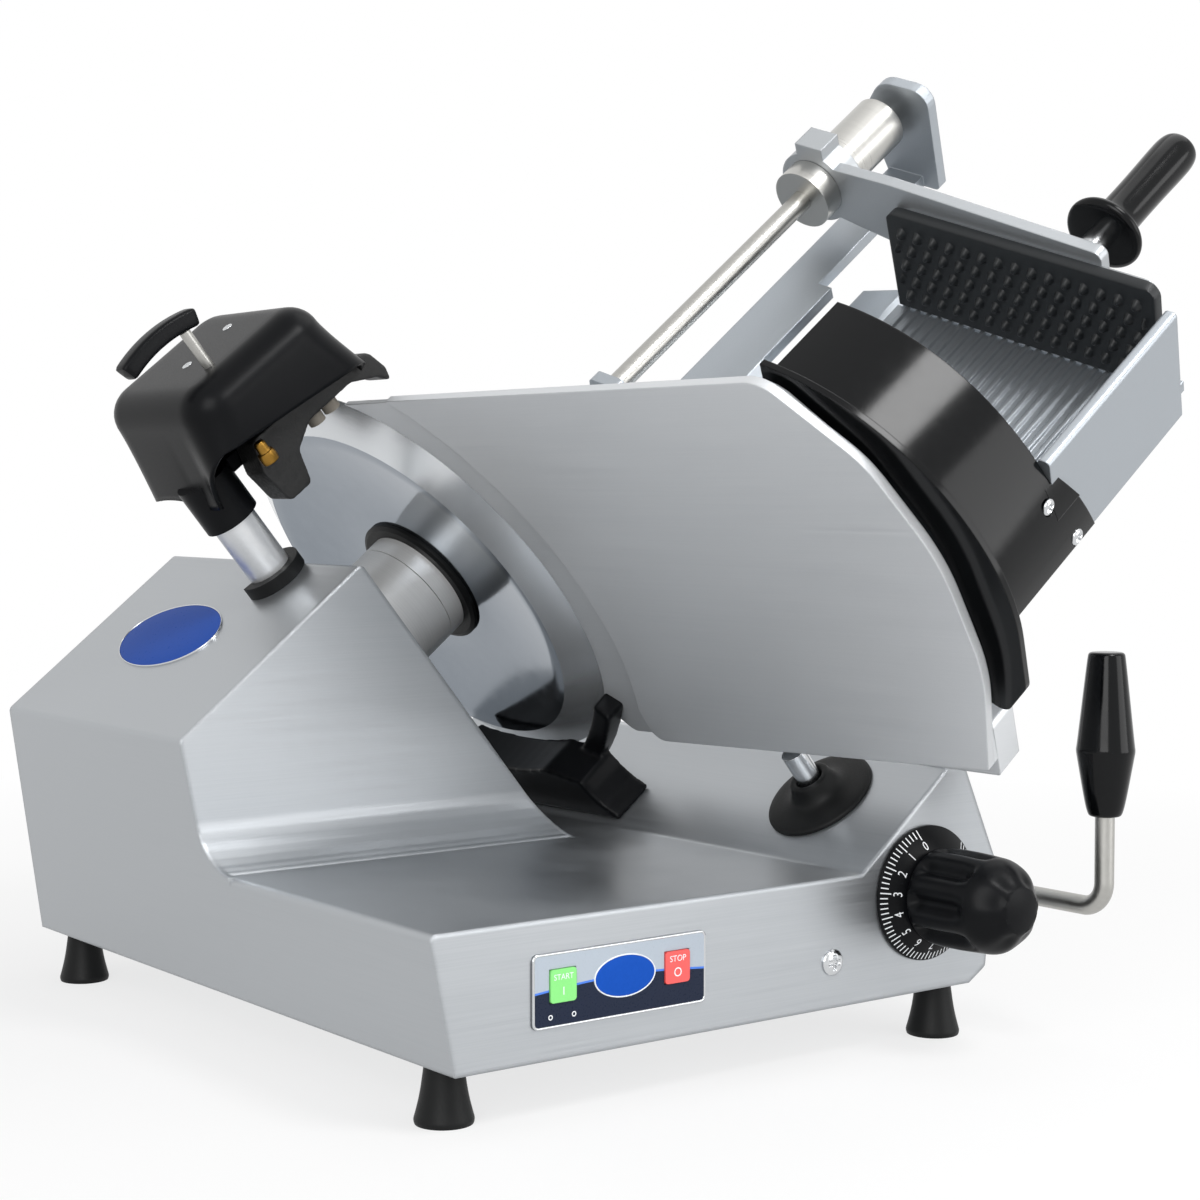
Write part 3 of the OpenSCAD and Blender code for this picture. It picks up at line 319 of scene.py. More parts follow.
# A soft black with a fine moulded texture.
satin_black = finish("moulded black ABS", "#0F1013", "#090A0B", rough=0.33, grain=(0.8, 0.8, 0.8),
                     bump=0.12, depth=0.04, edge=0.8, sheen=0.1)
# Dull, with a dusty bloom.
rubber_black = finish("black rubber", "#111213", "#0B0C0C", rough=0.5, grain=(0.9, 0.9, 0.9),
                      spread=0.08, bump=0.2, depth=0.05, edge=0.8, sheen=0.2)
# Pitted skin with worn, paler high spots.
rough_black = finish("blackened casting", "#262626", "#0A0A0A", rough=0.5, grain=(2.2, 2.2, 2.2),
                     spread=0.12, bump=0.6, depth=0.5, edge=1.2, sheen=0.4)
# A greyer rubber whose studs catch small lights.
stud_rubber = finish("moulded pusher rubber", "#222527", "#16181A", rough=0.45, grain=(1.1, 1.1, 1.1),
                     spread=0.08, bump=0.2, depth=0.05, edge=0.6, sheen=0.35)
print("finishes:", len(bpy.data.materials))

# %% [markdown]
# The rest: paint and plastics inside the casing, the stones, and the colours of the panel.

# %% Paints, pads and inks
# An even mid grey with a slight orange peel.
motor_paint = finish("grey stoving enamel", "#4A515A", "#40474F", rough=0.4, grain=(1.2, 1.2, 1.2),
                     depth=0.04, edge=0.8)
# A dark plain moulding.
switch_grey = finish("grey switch moulding", "#2D2F33", "#242629", rough=0.45, grain=(0.8, 0.8, 0.8),
                     bump=0.1)
# Coarse grit with no gloss at all.
grit_stone = finish("vitrified grinding stone", "#8B857B", "#6B665E", rough=0.85, grain=(0.5, 0.5, 0.5),
                    spread=0.08, bump=0.5, depth=0.1, edge=0.3)
# Bright soft rubber with a matt face.
green_rubber = finish("green silicone pad", "#86DE7E", "#7AD472", rough=0.4, grain=(0.9, 0.9, 0.9),
                      bump=0.08, edge=0.7)
red_rubber = finish("red silicone pad", "#EF5A57", "#E4504D", rough=0.4, grain=(0.9, 0.9, 0.9),
                    bump=0.08, edge=0.7)
# A full blue with a faint glaze.
blue_enamel = finish("blue vitreous enamel", "#1B50B0", "#1748A2", rough=0.3, grain=(2, 2, 2),
                     spread=0.03, bump=0.0, depth=0.02, edge=0.3, sheen=0.03)
# Flat white with the faint tooth of a screen.
white_ink = finish("white screen ink", "#EEF0F2", "#DFE2E5", rough=0.5, grain=(0.6, 0.6, 0.6),
                   bump=0.05, depth=0.01, edge=0.05)
print("finishes:", len(bpy.data.materials))

# %% [markdown]
# ## Nodes that keep their shape
# Sheet, rods and castings are already right in the CAD model, so they only get a finish.

# %% Finishes on the CAD nodes that keep their shape
KEPT = {
    steel_sheet: ["base_casing", "bottom_plate"],
    turned_steel: ["hub_housing", "knife_hub"],
    sleeve_steel: ["pusher_sleeve"],
    drawn_rod: ["slide_rod", "handle_rod", "lever_stem"],
    arm_satin: ["pusher_arm"],
    cast_satin: ["product_table", "carriage_arm", "trolley", "shaft_blocks", "guide_blocks",
                 "gauge_slider"],
    satin_rod: ["sharpener_post"],
    bright_rod: ["gauge_post", "pusher_stem", "carriage_shaft", "guide_rods", "index_shaft"],
    plain_steel: ["foot_screws", "hub_bearings", "motor_bracket", "motor_pulley", "arbor_pulley",
                  "knife_arbor", "knife_screws", "index_cam", "pusher_backing"],
    bronze: ["trolley_bushes"],
    gloss_black: ["knife_guard"],
    satin_black: ["sharpener_holder"],
    rubber_black: ["hub_seal", "post_ring", "drive_belt"],
    grit_stone: ["sharpening_stones"],
    motor_paint: ["motor"],
    switch_grey: ["switch_module"],
    green_rubber: ["start_pad"],
    red_rubber: ["stop_pad"],
}
for made, nodes in KEPT.items():
    for slot in [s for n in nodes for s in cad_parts[n].material_slots]:
        slot.material = made
print("nodes with a new finish:", sum(map(len, KEPT.values())))

# %% [markdown]
# ## Knife
# A slicer's knife is a dished disc: a hollow face, a step, and a wide polished bevel out to the edge.
# Turned from its half section with many steps, it gives clean mirror reflections.

# %% Knife
KNIFE_R, EDGE_D, KNIFE_AT = 165.0, 98.0, (0, 390, -100)
DISH_OUT, DISH_IN, BORE_R, LAND_W = 139.0, 60.0, 13.0, 15.0
# How far each part of the half section lies back from the plane of the edge.
EDGE_T, LAND_BACK, FACE_BACK, HUB_BACK, STEP_BACK = 0.5, 1, 1.5, 4.0, 13.6
DISH_FALL, DISH_END, STEP_W, STEP_FALL, FACE_END = 9.0, 8, 4, 0.2, 20
# Each point is a radius and a place along the shaft.
hollow = np.linspace(0, 1, 24)
dish = np.stack([DISH_IN + (DISH_OUT - DISH_END - DISH_IN) * hollow,
                 EDGE_D - HUB_BACK - DISH_FALL * hollow ** 1.6], -1)
step = [[DISH_OUT - STEP_W, EDGE_D - STEP_BACK + STEP_FALL], [DISH_OUT, EDGE_D - STEP_BACK]]
bevel = [[DISH_OUT, EDGE_D - STEP_BACK], [KNIFE_R, EDGE_D - EDGE_T], [KNIFE_R, EDGE_D],
         [KNIFE_R - LAND_W, EDGE_D - LAND_BACK]]
face = [[KNIFE_R - LAND_W, EDGE_D - LAND_BACK], [DISH_OUT - FACE_END, EDGE_D - FACE_BACK],
        [BORE_R, EDGE_D - FACE_BACK], [BORE_R, EDGE_D - HUB_BACK], [DISH_IN, EDGE_D - HUB_BACK]]
hollow_side, flat_side, ground_side = [turned(line, tilted, axis=0, at=KNIFE_AT, steps=256)
                                       for line in (np.vstack([dish, step]), face, bevel)]
# The disc's dark tone is painted shade, and the bevel's pale tone is a painted highlight.
piece("knife_disc", [hollow_side, flat_side], knife_mirror_painted_shade, "knife", ["knife"], sharp=12)
piece("knife_bevel", [ground_side], bevel_painted_highlight, "knife", sharp=12)

# %% [markdown]
# ## Gauge plate
# The plate is a thick face with a thinner lip that reaches towards the knife, both cut round it.
# The outline is drawn corner by corner with its own radius each, and closed along the knife's circle.

# %% Outlines with rounded corners
CORNER_POINTS = 12


def filleted(corners):
    """An outline through (y, h, radius) corners: each becomes an arc between its two tangent points."""
    c = np.asarray(corners, float)
    p, out = c[:, :2], [c[0, :2]]
    for i in range(1, len(c) - 1):
        a, b = p[i - 1] - p[i], p[i + 1] - p[i]
        a, b = a / np.linalg.norm(a), b / np.linalg.norm(b)
        half = np.arccos(np.clip(a @ b, -1, 1)) / 2
        middle = p[i] + (a + b) / np.linalg.norm(a + b) * c[i, 2] / np.sin(half)
        ends = [np.arctan2(*(p[i] + e * c[i, 2] / np.tan(half) - middle)[::-1]) for e in (a, b)]
        turn = np.linspace(*np.unwrap(ends), CORNER_POINTS)
        out.extend(middle + c[i, 2] * np.stack([np.cos(turn), np.sin(turn)], -1))
    return np.array(out + [p[-1]])


def slab(outline, back, front):
    """A flat plate: the outline at two depths, joined by a wall and closed by two faces."""
    n = len(outline)
    ends = [np.column_stack([np.full(n, d), outline]) for d in (back, front)]
    points, walls = patch(tilted(np.stack(ends)), wrap_v=True)
    return points, walls + [list(range(n)), list(range(n, 2 * n))]


print("points on each corner's arc:", CORNER_POINTS)

# %% [markdown]
# The face and the lip share one outline and differ in how near they come to the knife. The ledge that
# stands off the low edge is a slab of its own.

# %% Gauge plate
PLATE_TOP, PLATE_FAR_Y, PLATE_FAR_H = 62, -98, -218
SWEPT_SIDE = [[-141, 6, 60], [-155, -60, 120], [-140, -140, 150]]
LIP_T, PLATE_T, ROUND_POINTS = 4.0, 10.0, 60
FACE = dict(reach=203, low=(217, -232), waist=(215.7, -204), inset=0)
LIP = dict(reach=167.5, low=(247, -232), waist=(263.4, -210.0), inset=10)
LEDGE_LOW, LEDGE_HIGH, LEDGE_D = -232, -190, 20


def plate_outline(reach, low, waist, inset):
    """The outline: top edge, swept right side, bottom edge, then up along a circle round the knife."""
    y, h = KNIFE_AT[1:]
    top = PLATE_TOP - inset / 2
    corner = [y - np.sqrt(reach ** 2 - (top - h) ** 2), top]
    swept = [[a + inset, b, r] for a, b, r in SWEPT_SIDE]
    side = filleted([[*corner, 0], [PLATE_FAR_Y, top, 25], *swept, [PLATE_FAR_Y, PLATE_FAR_H, 2],
                     [*low, 10], [*waist, 0]])
    first, last = [np.arctan2(b - h, a - y) % (2 * np.pi) for a, b in (waist, corner)]
    turn = np.linspace(first, last, ROUND_POINTS)[:, None]
    arc = np.array([y, h]) + reach * np.concatenate([np.cos(turn), np.sin(turn)], 1)
    return np.vstack([side[:-1], arc[:-1]])


piece("gauge_face", [slab(plate_outline(**FACE), EDGE_D - PLATE_T, EDGE_D - LIP_T)],
      gauge_satin, "gauge", ["gauge_plate"])
piece("gauge_lip", [slab(plate_outline(**LIP), EDGE_D - LIP_T, EDGE_D)],
      gauge_satin, "gauge")
ledge = filleted([[20, LEDGE_LOW, 0], [150, LEDGE_LOW, 3], [150, LEDGE_HIGH, 3], [-110, LEDGE_HIGH, 3],
                  [-92, LEDGE_LOW, 3], [20, LEDGE_LOW, 0]])
piece("gauge_ledge", [slab(ledge, EDGE_D, EDGE_D + LEDGE_D)], gauge_satin, "gauge")

# %% [markdown]
# ## Castings with soft edges
# The deflector under the knife and the fork of the stones are rough mouldings with rounded edges.
# Their solids are taken as they are; a fine grid of cells gives each one skin, and averaging each
# point with its neighbours rounds what is sharp.

# %% Deflector and fork
def softened(name, node, material, body, cell, passes):
    """The skin of a CAD node as a piece of its own: cells of cell millimetres, smoothed some passes."""
    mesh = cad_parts[node].data
    points = np.array([v.co for v in mesh.vertices])
    faces = [list(f.vertices) for f in mesh.polygons]
    obj = piece(name, [(points, faces)], material, body, [node], sharp=40)
    grid = obj.modifiers.new("grid", "REMESH")
    grid.mode, grid.voxel_size, grid.use_smooth_shade = "VOXEL", cell * MM, True
    soft = obj.modifiers.new("soft", "SMOOTH")
    soft.factor, soft.iterations = 0.5, passes


softened("deflector", "knife_deflector", satin_black, "base", cell=1.4, passes=14)
softened("fork", "stone_fork", rough_black, "sharpener", cell=1.1, passes=7)

# %% [markdown]
# ## Sharpener hood
# The hood is one moulding: a box with large radii that widens to its rim and is open underneath.
# A subdivided cube could be pulled into shape; here the outline is a rounded rectangle at each level,
# and the rim rises in an arch where the post and the fork come through.

# %% Rounded rectangles and arches
SIDE_STEPS, ARC_STEPS = 24, 10


def rounded_box(a, b, r):
    """Rounded rectangles of half sides a and b: a quarter circle of radius r at each corner,
    and even steps along each straight side. The last index runs round the outline."""
    quarter = np.linspace(0, np.pi / 2, ARC_STEPS)
    turn = (np.arange(4)[:, None] * np.pi / 2 + quarter).ravel()
    sign_x, sign_y = np.repeat([1, -1, -1, 1], ARC_STEPS), np.repeat([1, 1, -1, -1], ARC_STEPS)
    x, y = (a - r) * sign_x + r * np.cos(turn), (b - r) * sign_y + r * np.sin(turn)
    start = np.arange(4 * ARC_STEPS)
    ends = start % ARC_STEPS == ARC_STEPS - 1
    base = np.repeat(start, np.where(ends, SIDE_STEPS, 1))
    part = np.concatenate([np.arange(SIDE_STEPS) / SIDE_STEPS if e else [0.0] for e in ends])
    after = (base + 1) % (4 * ARC_STEPS)
    return [c[..., base] * (1 - part) + c[..., after] * part for c in (x, y)]


def arch(y, middle, half, rise):
    """Height of a round arch over the rim: an ellipse above its span, nothing beside it."""
    return rise * np.sqrt(np.clip(1 - ((y - middle) / half) ** 2, 0, 1))


print("points round a box:", rounded_box(*np.full((3, 1, 1), 2.0))[0].size)

# %% [markdown]
# The outline is carried up the wall, round the top edge and in to the middle of the lid. A moulding has
# an even wall, so a modifier gives the skin its thickness inwards.

# %% Sharpener hood
HOOD_LOW, HOOD_FRONT, HOOD_TOP, HOOD_Y, HOOD_HALF_Y = 70.0, 98.0, 147.0, 340.0, 68.0
HOOD_D, HOOD_HALF_D, HOOD_FLARE, HOOD_SHIFT, HOOD_WALL = 34.0, 58, 10.5, 1.5, 3
TOP_ROUND, CORNER_ROUND, LEAST_ROUND, RIM_LEAN = 20.0, 24.0, 3, 0.14
FRONT_RISE_FROM, FRONT_RISE_OVER = 34, 30
WALL_STEPS, BEND_STEPS, LID_STEPS = 14, 10, 8
POST_ARCH, FORK_ARCH, FORK_SIDE_D = (366, 36, 8), (313, 18, 26), 70


def hood_patch():
    """Levels go up the wall, round the top edge and in to the middle of the top.

    The half width shrinks up the wall, and the inset at the top edge follows a quarter circle.
    """
    wall = np.linspace(0, 1, WALL_STEPS)
    bend = np.linspace(0, np.pi / 2, BEND_STEPS)[1:]
    lid = np.linspace(1, 0, LID_STEPS)[1:]
    up = np.concatenate([wall, np.ones(len(bend) + len(lid))])[:, None]
    inset = np.concatenate([0 * wall, TOP_ROUND * (1 - np.cos(bend)), TOP_ROUND + 0 * lid])[:, None]
    rise = np.concatenate([0 * wall, TOP_ROUND * np.sin(bend), TOP_ROUND + 0 * lid])[:, None]
    shrink = np.concatenate([np.ones(len(wall) + len(bend)), lid])[:, None]
    flare = (1 - up) ** 1.2
    half, middle = HOOD_HALF_D + HOOD_FLARE * flare, HOOD_D + HOOD_SHIFT * flare
    radius = np.maximum(CORNER_ROUND - inset, LEAST_ROUND)
    x, y = rounded_box(half - inset, HOOD_HALF_Y - inset + 0 * half, radius)
    d, y = middle + x * shrink, HOOD_Y + y * shrink
    ahead = np.clip((HOOD_Y - HOOD_HALF_Y + FRONT_RISE_FROM - y) / FRONT_RISE_OVER, 0, 1)
    front = HOOD_FRONT - RIM_LEAN * (d - HOOD_D) - HOOD_LOW
    left = arch(y, *POST_ARCH) * (d < 0)
    right = arch(y, *FORK_ARCH) * (d > FORK_SIDE_D)
    rim = HOOD_LOW + np.maximum(front * ahead ** 0.6, np.maximum(left, right))
    h = rim + (HOOD_TOP - TOP_ROUND - rim) * up + rise
    return patch(tilted(np.stack([d, y, h], -1)), wrap_v=True)


hood = piece("sharpener_hood", [hood_patch()], satin_black, "sharpener", ["sharpener_cover"], sharp=60)
wall = hood.modifiers.new("wall", "SOLIDIFY")
wall.thickness, wall.offset = HOOD_WALL * MM, -1

# %% [markdown]
# ## Lever bar
# The finger bar is a curved moulding across its stem. Its section is a squarish oval that is carried
# along an arc and drawn in at both ends.

# %% Lever bar
BAR_R, BAR_AT, BAR_SPAN, BAR_STEPS = 101, (-2, 302, 81), (72, 108), 41
BAR_HALF_H, BAR_HALF_W, SQUARENESS = 6, 7, 0.4


def squarish(c):
    """A cosine or sine flattened towards 1 and -1, which turns a circle into a squarish oval."""
    return np.sign(c) * np.abs(c) ** SQUARENESS


bar_round = full_turn(32)
taper = np.clip(1 - np.abs(np.linspace(-1, 1, BAR_STEPS)) ** 30, 0, 1)[:, None] ** 0.5
radial = BAR_HALF_H * squarish(np.cos(bar_round)) * taper
across = BAR_HALF_W * squarish(np.sin(bar_round)) * taper
spoke = np.radians(np.linspace(*BAR_SPAN, BAR_STEPS))[:, None]
bar = np.stack([BAR_AT[0] + (BAR_R + radial) * np.cos(spoke), BAR_AT[1] + across,
                BAR_AT[2] + (BAR_R + radial) * np.sin(spoke)], -1)
piece("lever_bar", [patch(tilted(bar), wrap_v=True)], satin_black, "lever", ["lever_grip"])

# %% [markdown]
# ## Index knob and dial
# The knob narrows a little away from the casing and ends in a wide chamfer. Eight grooves for the
# fingers start at its root and run out before its end, so the radius is a profile less a groove that
# fades along the length.

# %% Index knob
INDEX_AT, KNOB_FROM, KNOB_LEN, END_DOME = (350, 0, 62), 4.4, 75.6, 1.5
GROOVES, GROOVE_DEEP, FACET_DEEP = 8, 6.5, 0.8
along = np.linspace(0, 1, 60)
knob_line = eased([[0, 24], [0.08, 24], [0.1, 28], [0.16, 30.5], [0.45, 30.5], [0.7, 29.5],
                   [0.8, 28.5], [0.9, 23.5], [1, 14]])
knob_radius = np.interp(along, knob_line[:, 0], knob_line[:, 1])[:, None]
fade = (np.interp(along, [0, 0.12, 0.2, 0.6, 0.72, 1], [0, 0, 1, 1, 0, 0]) ** 0.7)[:, None]
angle = full_turn(192)
groove = GROOVE_DEEP * fade * (0.5 + 0.5 * np.cos(GROOVES * angle)) ** 1.6
chamfer = np.interp(along, [0, 0.75, 0.95, 1], [0, 0, 1, 0])[:, None]
facet = FACET_DEEP * (1 - np.cos(GROOVES * angle)) * chamfer
reach = knob_radius - groove - facet
out = (-KNOB_FROM - KNOB_LEN * along)[:, None] + 0 * angle
skin = np.stack([reach * np.cos(angle), out, reach * np.sin(angle)], -1)
end = np.stack([skin[-1] * [k, 0, k] + [0, -(KNOB_FROM + KNOB_LEN) - END_DOME * (1 - k ** 2), 0]
                for k in np.linspace(1, 0, 7)[1:]])
back = skin[:1] * [0, 1, 0]
grip_skin = np.concatenate([back, skin, end]) + np.array(INDEX_AT)
piece("knob", [patch(placed(grip_skin), wrap_v=True)], satin_black, "index", ["index_knob"])

# %% [markdown]
# The dial is a low cone under the knob. Its ticks and numbers are white ink, cut as thin shapes
# that lie a little proud of the cone, so that they also show in the exported mesh.

# %% Index dial
DIAL_R, DIAL_RIM, DIAL_TOP, DIAL_BORE = 42.0, 2.2, 27.0, 8.2
DIAL_GAP, CONE, INK_LIFT = 0.4, 0.62, 0.15


def cone_depth(r):
    """How far the dial's cone stands out from the casing: its rim, and more towards the middle."""
    return DIAL_RIM + CONE * (DIAL_R - r)


def on_dial(p):
    """Carries flat (x, y) shapes on to the dial's cone, whose depth grows towards the middle."""
    p = np.asarray(p, float)
    depth = cone_depth(np.hypot(p[..., 0], p[..., 1])) + INK_LIFT
    return placed(np.stack([p[..., 0], -depth, p[..., 1]], -1) + np.array(INDEX_AT))


dial_line = [[DIAL_BORE, -DIAL_GAP], [DIAL_R - 0.4, -DIAL_GAP], [DIAL_R, -DIAL_GAP * 2],
             [DIAL_R, -DIAL_RIM], [DIAL_TOP, -cone_depth(DIAL_TOP)], [DIAL_BORE, -cone_depth(DIAL_TOP)],
             [DIAL_BORE, -DIAL_GAP]]
piece("dial", [turned(dial_line, placed, axis=1, at=INDEX_AT, steps=128)], satin_black, "index",
      ["index_dial"])

# %% [markdown]
# Words and numbers come from a text curve that is made a flat mesh at once, so that only its points
# are left. Ticks are four corners each, worked out for all of them together.

# %% Dial scale
SCALE_FROM, SCALE_TO, NUMBERS, NUMBER_R, NUMBER_SIZE = 15, 315, 14, 31.6, 7.0
TICKS, TICK_IN, TICK_OUT, TICK_W, LONGER, LONG_EVERY = 66, 37.0, 41.2, 0.75, 1.6, 5


def lettering(words, size, place, middle, turn=0.0):
    """Outlines of some words as a flat mesh, centred, turned by an angle and set at a point."""
    curve = bpy.data.curves.new("words", "FONT")
    curve.body, curve.size, curve.align_x, curve.align_y = words, size, "CENTER", "CENTER"
    curve.resolution_u = 3
    holder = bpy.data.objects.new("words", curve)
    mesh = bpy.data.meshes.new_from_object(holder)
    flat = np.empty(3 * len(mesh.vertices))
    mesh.vertices.foreach_get("co", flat)
    x, y = flat.reshape(-1, 3)[:, :2].T
    both = np.stack([x * np.cos(turn) - y * np.sin(turn), x * np.sin(turn) + y * np.cos(turn)], -1)
    faces = [list(f.vertices) for f in mesh.polygons]
    bpy.data.objects.remove(holder)
    bpy.data.curves.remove(curve)
    bpy.data.meshes.remove(mesh)
    return place(both + np.asarray(middle, float)), faces


def ticks():
    """Radial strokes on the dial: four corners each, from an inner to an outer radius."""
    turn = np.linspace(-np.radians(SCALE_FROM), -np.radians(SCALE_TO), TICKS)[:, None]
    side = np.array([-1, 1, 1, -1]) * TICK_W / 2
    inner = np.where(np.arange(TICKS)[:, None] % LONG_EVERY == 0, TICK_IN - LONGER, TICK_IN)
    far = np.array([0, 0, 1, 1])
    r = inner + (TICK_OUT - inner) * far
    flat = np.stack([r * np.sin(turn) + side * np.cos(turn), r * np.cos(turn) - side * np.sin(turn)], -1)
    return on_dial(flat).reshape(-1, 3), np.arange(4 * TICKS).reshape(-1, 4).tolist()


scale_turn = -np.radians(np.linspace(SCALE_FROM, SCALE_TO, NUMBERS))
marks = [ticks()]
marks += [lettering(str(i), NUMBER_SIZE, on_dial, (NUMBER_R * np.sin(t), NUMBER_R * np.cos(t)), -t)
          for i, t in enumerate(scale_turn)]
piece("dial_scale", marks, white_ink, "index")

# %% [markdown]
# ## Panel, pads and badges
# The panel is a printed label under a thin bright frame: pale above, navy below, with a blue line
# between them that rises in the middle. The print is a material, because it has no thickness.

# %% Panel print
PANEL = dict(x=50.5, z=19.0, w=120.5, h=40.0)
LINE_UP, LINE_RISE, LINE_W, RAMP_MM = 18.5, 3.4, 1.2, 10.0
# The label's texture is finer than the picture shows, so it is drawn at about 1.1 mm.
TEXTURE_PER_M = 900.0
LABEL_ROUGH, LABEL_SHEEN = (0.22, 0.36), 0.2
# Flat colours under a film with a soft, even gloss.
print_finish, tree, shader = blank("screen-printed polyester label")
spot = add(tree, "TexCoord").outputs["Object"]
axes = add(tree, "SeparateXYZ", {0: spot}).outputs
left, low = placed([PANEL["x"], 0, PANEL["z"]])[[0, 2]]
run = add(tree, "MapRange", {"Value": axes[0], "From Min": left, "From Max": left + PANEL["w"] * MM,
                             "To Min": 0.0, "To Max": np.pi})
swell = add(tree, "Math", {0: run.outputs[0]}, operation="SINE").outputs[0]
edge = add(tree, "Math", {0: swell, 1: LINE_RISE * MM, 2: low + LINE_UP * MM}, operation="MULTIPLY_ADD")
above = add(tree, "Math", {0: axes[2], 1: edge.outputs[0]}, operation="SUBTRACT").outputs[0]
share = add(tree, "Math", {0: above, 1: 1 / (RAMP_MM * MM), 2: 0.5}, operation="MULTIPLY_ADD").outputs[0]
bands = add(tree, "ValToRGB", {0: share})
ramp = bands.color_ramp
ramp.interpolation = "CONSTANT"
ramp.elements[0].color = srgb("#141E33")
ramp.elements[1].position, ramp.elements[1].color = 0.5, srgb("#4A7AD8")
ramp.elements.new(0.5 + LINE_W / RAMP_MM).color = srgb("#A8B1BB")
texture = add(tree, "TexNoise", {"Scale": TEXTURE_PER_M, "Detail": 2.0, "Vector": spot}).outputs["Fac"]
gloss = add(tree, "MapRange", {"Value": texture, "To Min": LABEL_ROUGH[0], "To Max": LABEL_ROUGH[1]})
tree.links.new(bands.outputs[0], shader.inputs["Base Color"])
tree.links.new(gloss.outputs[0], shader.inputs["Roughness"])
shader.inputs["Specular IOR Level"].default_value = LABEL_SHEEN
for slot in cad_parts["control_panel"].material_slots:
    slot.material = print_finish
print("panel's low left corner:", left, low)

# %% [markdown]
# The frame of the panel is a bead: part of a circle carried along a rounded rectangle. Between the
# panel's outline and one a millimetre wider, the cosine of the bead's angle goes out and back.

# %% Panel frame
FRAME_W, FRAME_CORNER, FRAME_OUT = 1.0, 3.0, 0.9


def panel_outline(grow):
    """The panel's rounded rectangle, made wider by some millimetres all round."""
    sizes = (PANEL["w"] / 2 + grow, PANEL["h"] / 2 + grow, FRAME_CORNER + grow)
    return rounded_box(*[np.array([[size]]) for size in sizes])


bead = np.linspace(-0.15 * np.pi, 1.15 * np.pi, 9)[:, None]
wave = 0.1 + 0.9 * np.cos(bead)
(rim_x, rim_z), (grow_x, grow_z) = panel_outline(0), panel_outline(FRAME_W)
frame_line = np.stack([PANEL["x"] + PANEL["w"] / 2 + rim_x + (grow_x - rim_x) * wave,
                       -FRAME_OUT - FRAME_W * np.sin(bead) + 0 * rim_x,
                       PANEL["z"] + PANEL["h"] / 2 + rim_z + (grow_z - rim_z) * wave], -1)
piece("panel_frame", [patch(placed(frame_line), wrap_u=True, wrap_v=True)], bright_rod, "base")

# %% [markdown]
# The pads carry plain words and signs in white ink, which move with their pads. Two small rings on
# the print show where the lamps are.

# %% Pad marks
PAD_FACE, PRINT_BACK = 2.6, 0.95
START_X, STOP_X, WORD_Z, SIGN_Z = 69.85, 150.35, 46, 38
LAMP_X, LAMP_Z, LAMP_RING = (61.5, 77.5), 24.3, (0.9, 1.5)


def on_pad(p):
    """Carries flat (x, z) shapes on to the front of the pads."""
    p = np.asarray(p, float)
    return placed(np.stack([p[..., 0], 0 * p[..., 0] - PAD_FACE, p[..., 1]], -1))


def on_panel(p):
    """Carries flat (x, z) shapes on to the panel's print."""
    return on_pad(p) + np.array([0, PRINT_BACK * MM, 0])


piece("start_marks", [lettering("START", 4.6, on_pad, (START_X, WORD_Z)),
                      lettering("I", 6.5, on_pad, (START_X, SIGN_Z))],
      white_ink, "start_button")
piece("stop_marks", [lettering("STOP", 5.0, on_pad, (STOP_X, WORD_Z)),
                     lettering("O", 7.5, on_pad, (STOP_X, SIGN_Z))],
      white_ink, "stop_button")
lamp_round = full_turn(24)
lamp_ring = np.stack([np.cos(lamp_round), np.sin(lamp_round)], -1)[None]
lamp_ring = lamp_ring * np.array(LAMP_RING)[:, None, None]
lamp_dots = [patch(on_panel(lamp_ring + np.array([x, LAMP_Z])), wrap_v=True) for x in LAMP_X]
piece("lamp_marks", lamp_dots, white_ink, "base")

# %% [markdown]
# The ovals on the housing and the panel are plain domes of enamel in a thin bead. One pair of
# functions makes both, and the first argument says how an oval lies on its face.

# %% Oval badges
OVAL_STEPS, PANEL_FRONT = 96, 1.5
HOUSING_OVAL = dict(middle=(-81, 392), half_u=30, half_v=58)
PANEL_OVAL = dict(middle=(113, 41), half_u=20.8, half_v=11.3)


def on_slope(middle, u, v, lift):
    """Lays an oval on the sloped top of the housing."""
    return tilted(np.stack([middle[0] + u, middle[1] + v, lift], -1))


def on_front(middle, u, v, lift):
    """Stands an oval on the front of the panel."""
    return placed(np.stack([middle[0] + u, -PANEL_FRONT - lift, middle[1] + v], -1))


def oval_badge(where, middle, half_u, half_v, lift):
    """A domed oval: the height falls with the fourth power of the share of the radius, then drops."""
    share = np.concatenate([np.linspace(0, 1, 14), [1.0]])[:, None]
    turn = full_turn(OVAL_STEPS)
    rise = lift * (1 - 0.55 * share ** 4)
    rise[-1] = 0
    skin = where(middle, half_u * share * np.cos(turn), half_v * share * np.sin(turn), rise + 0 * turn)
    return patch(skin, wrap_v=True)


def oval_rim(where, middle, half_u, half_v, width, lift):
    """A bead round the oval: a half circle of the given width carried along the outline."""
    turn = full_turn(OVAL_STEPS)
    bead = np.linspace(0, np.pi, 9)[:, None]
    out = width / 2 * (1 + np.cos(bead))
    skin = where(middle, (half_u + out) * np.cos(turn), (half_v + out) * np.sin(turn),
                 lift * np.sin(bead) + 0 * turn)
    return patch(skin, wrap_v=True)


piece("housing_oval", [oval_badge(on_slope, **HOUSING_OVAL, lift=1.6)], blue_enamel, "base",
      ["housing_badge"])
piece("housing_oval_rim", [oval_rim(on_slope, **HOUSING_OVAL, width=1.0, lift=1.3)], bright_rod, "base")
piece("panel_oval", [oval_badge(on_front, **PANEL_OVAL, lift=0.8)], blue_enamel, "base")
piece("panel_oval_rim", [oval_rim(on_front, **PANEL_OVAL, width=0.9, lift=0.7)], white_ink, "base")

# %% [markdown]
# ## Cheek of the guard
# Beside the table's wall the guard's arch runs on as a cheek, from its tab up to the wall's face.
# It is a patch of the same arch: two skins a wall apart, joined along their border.

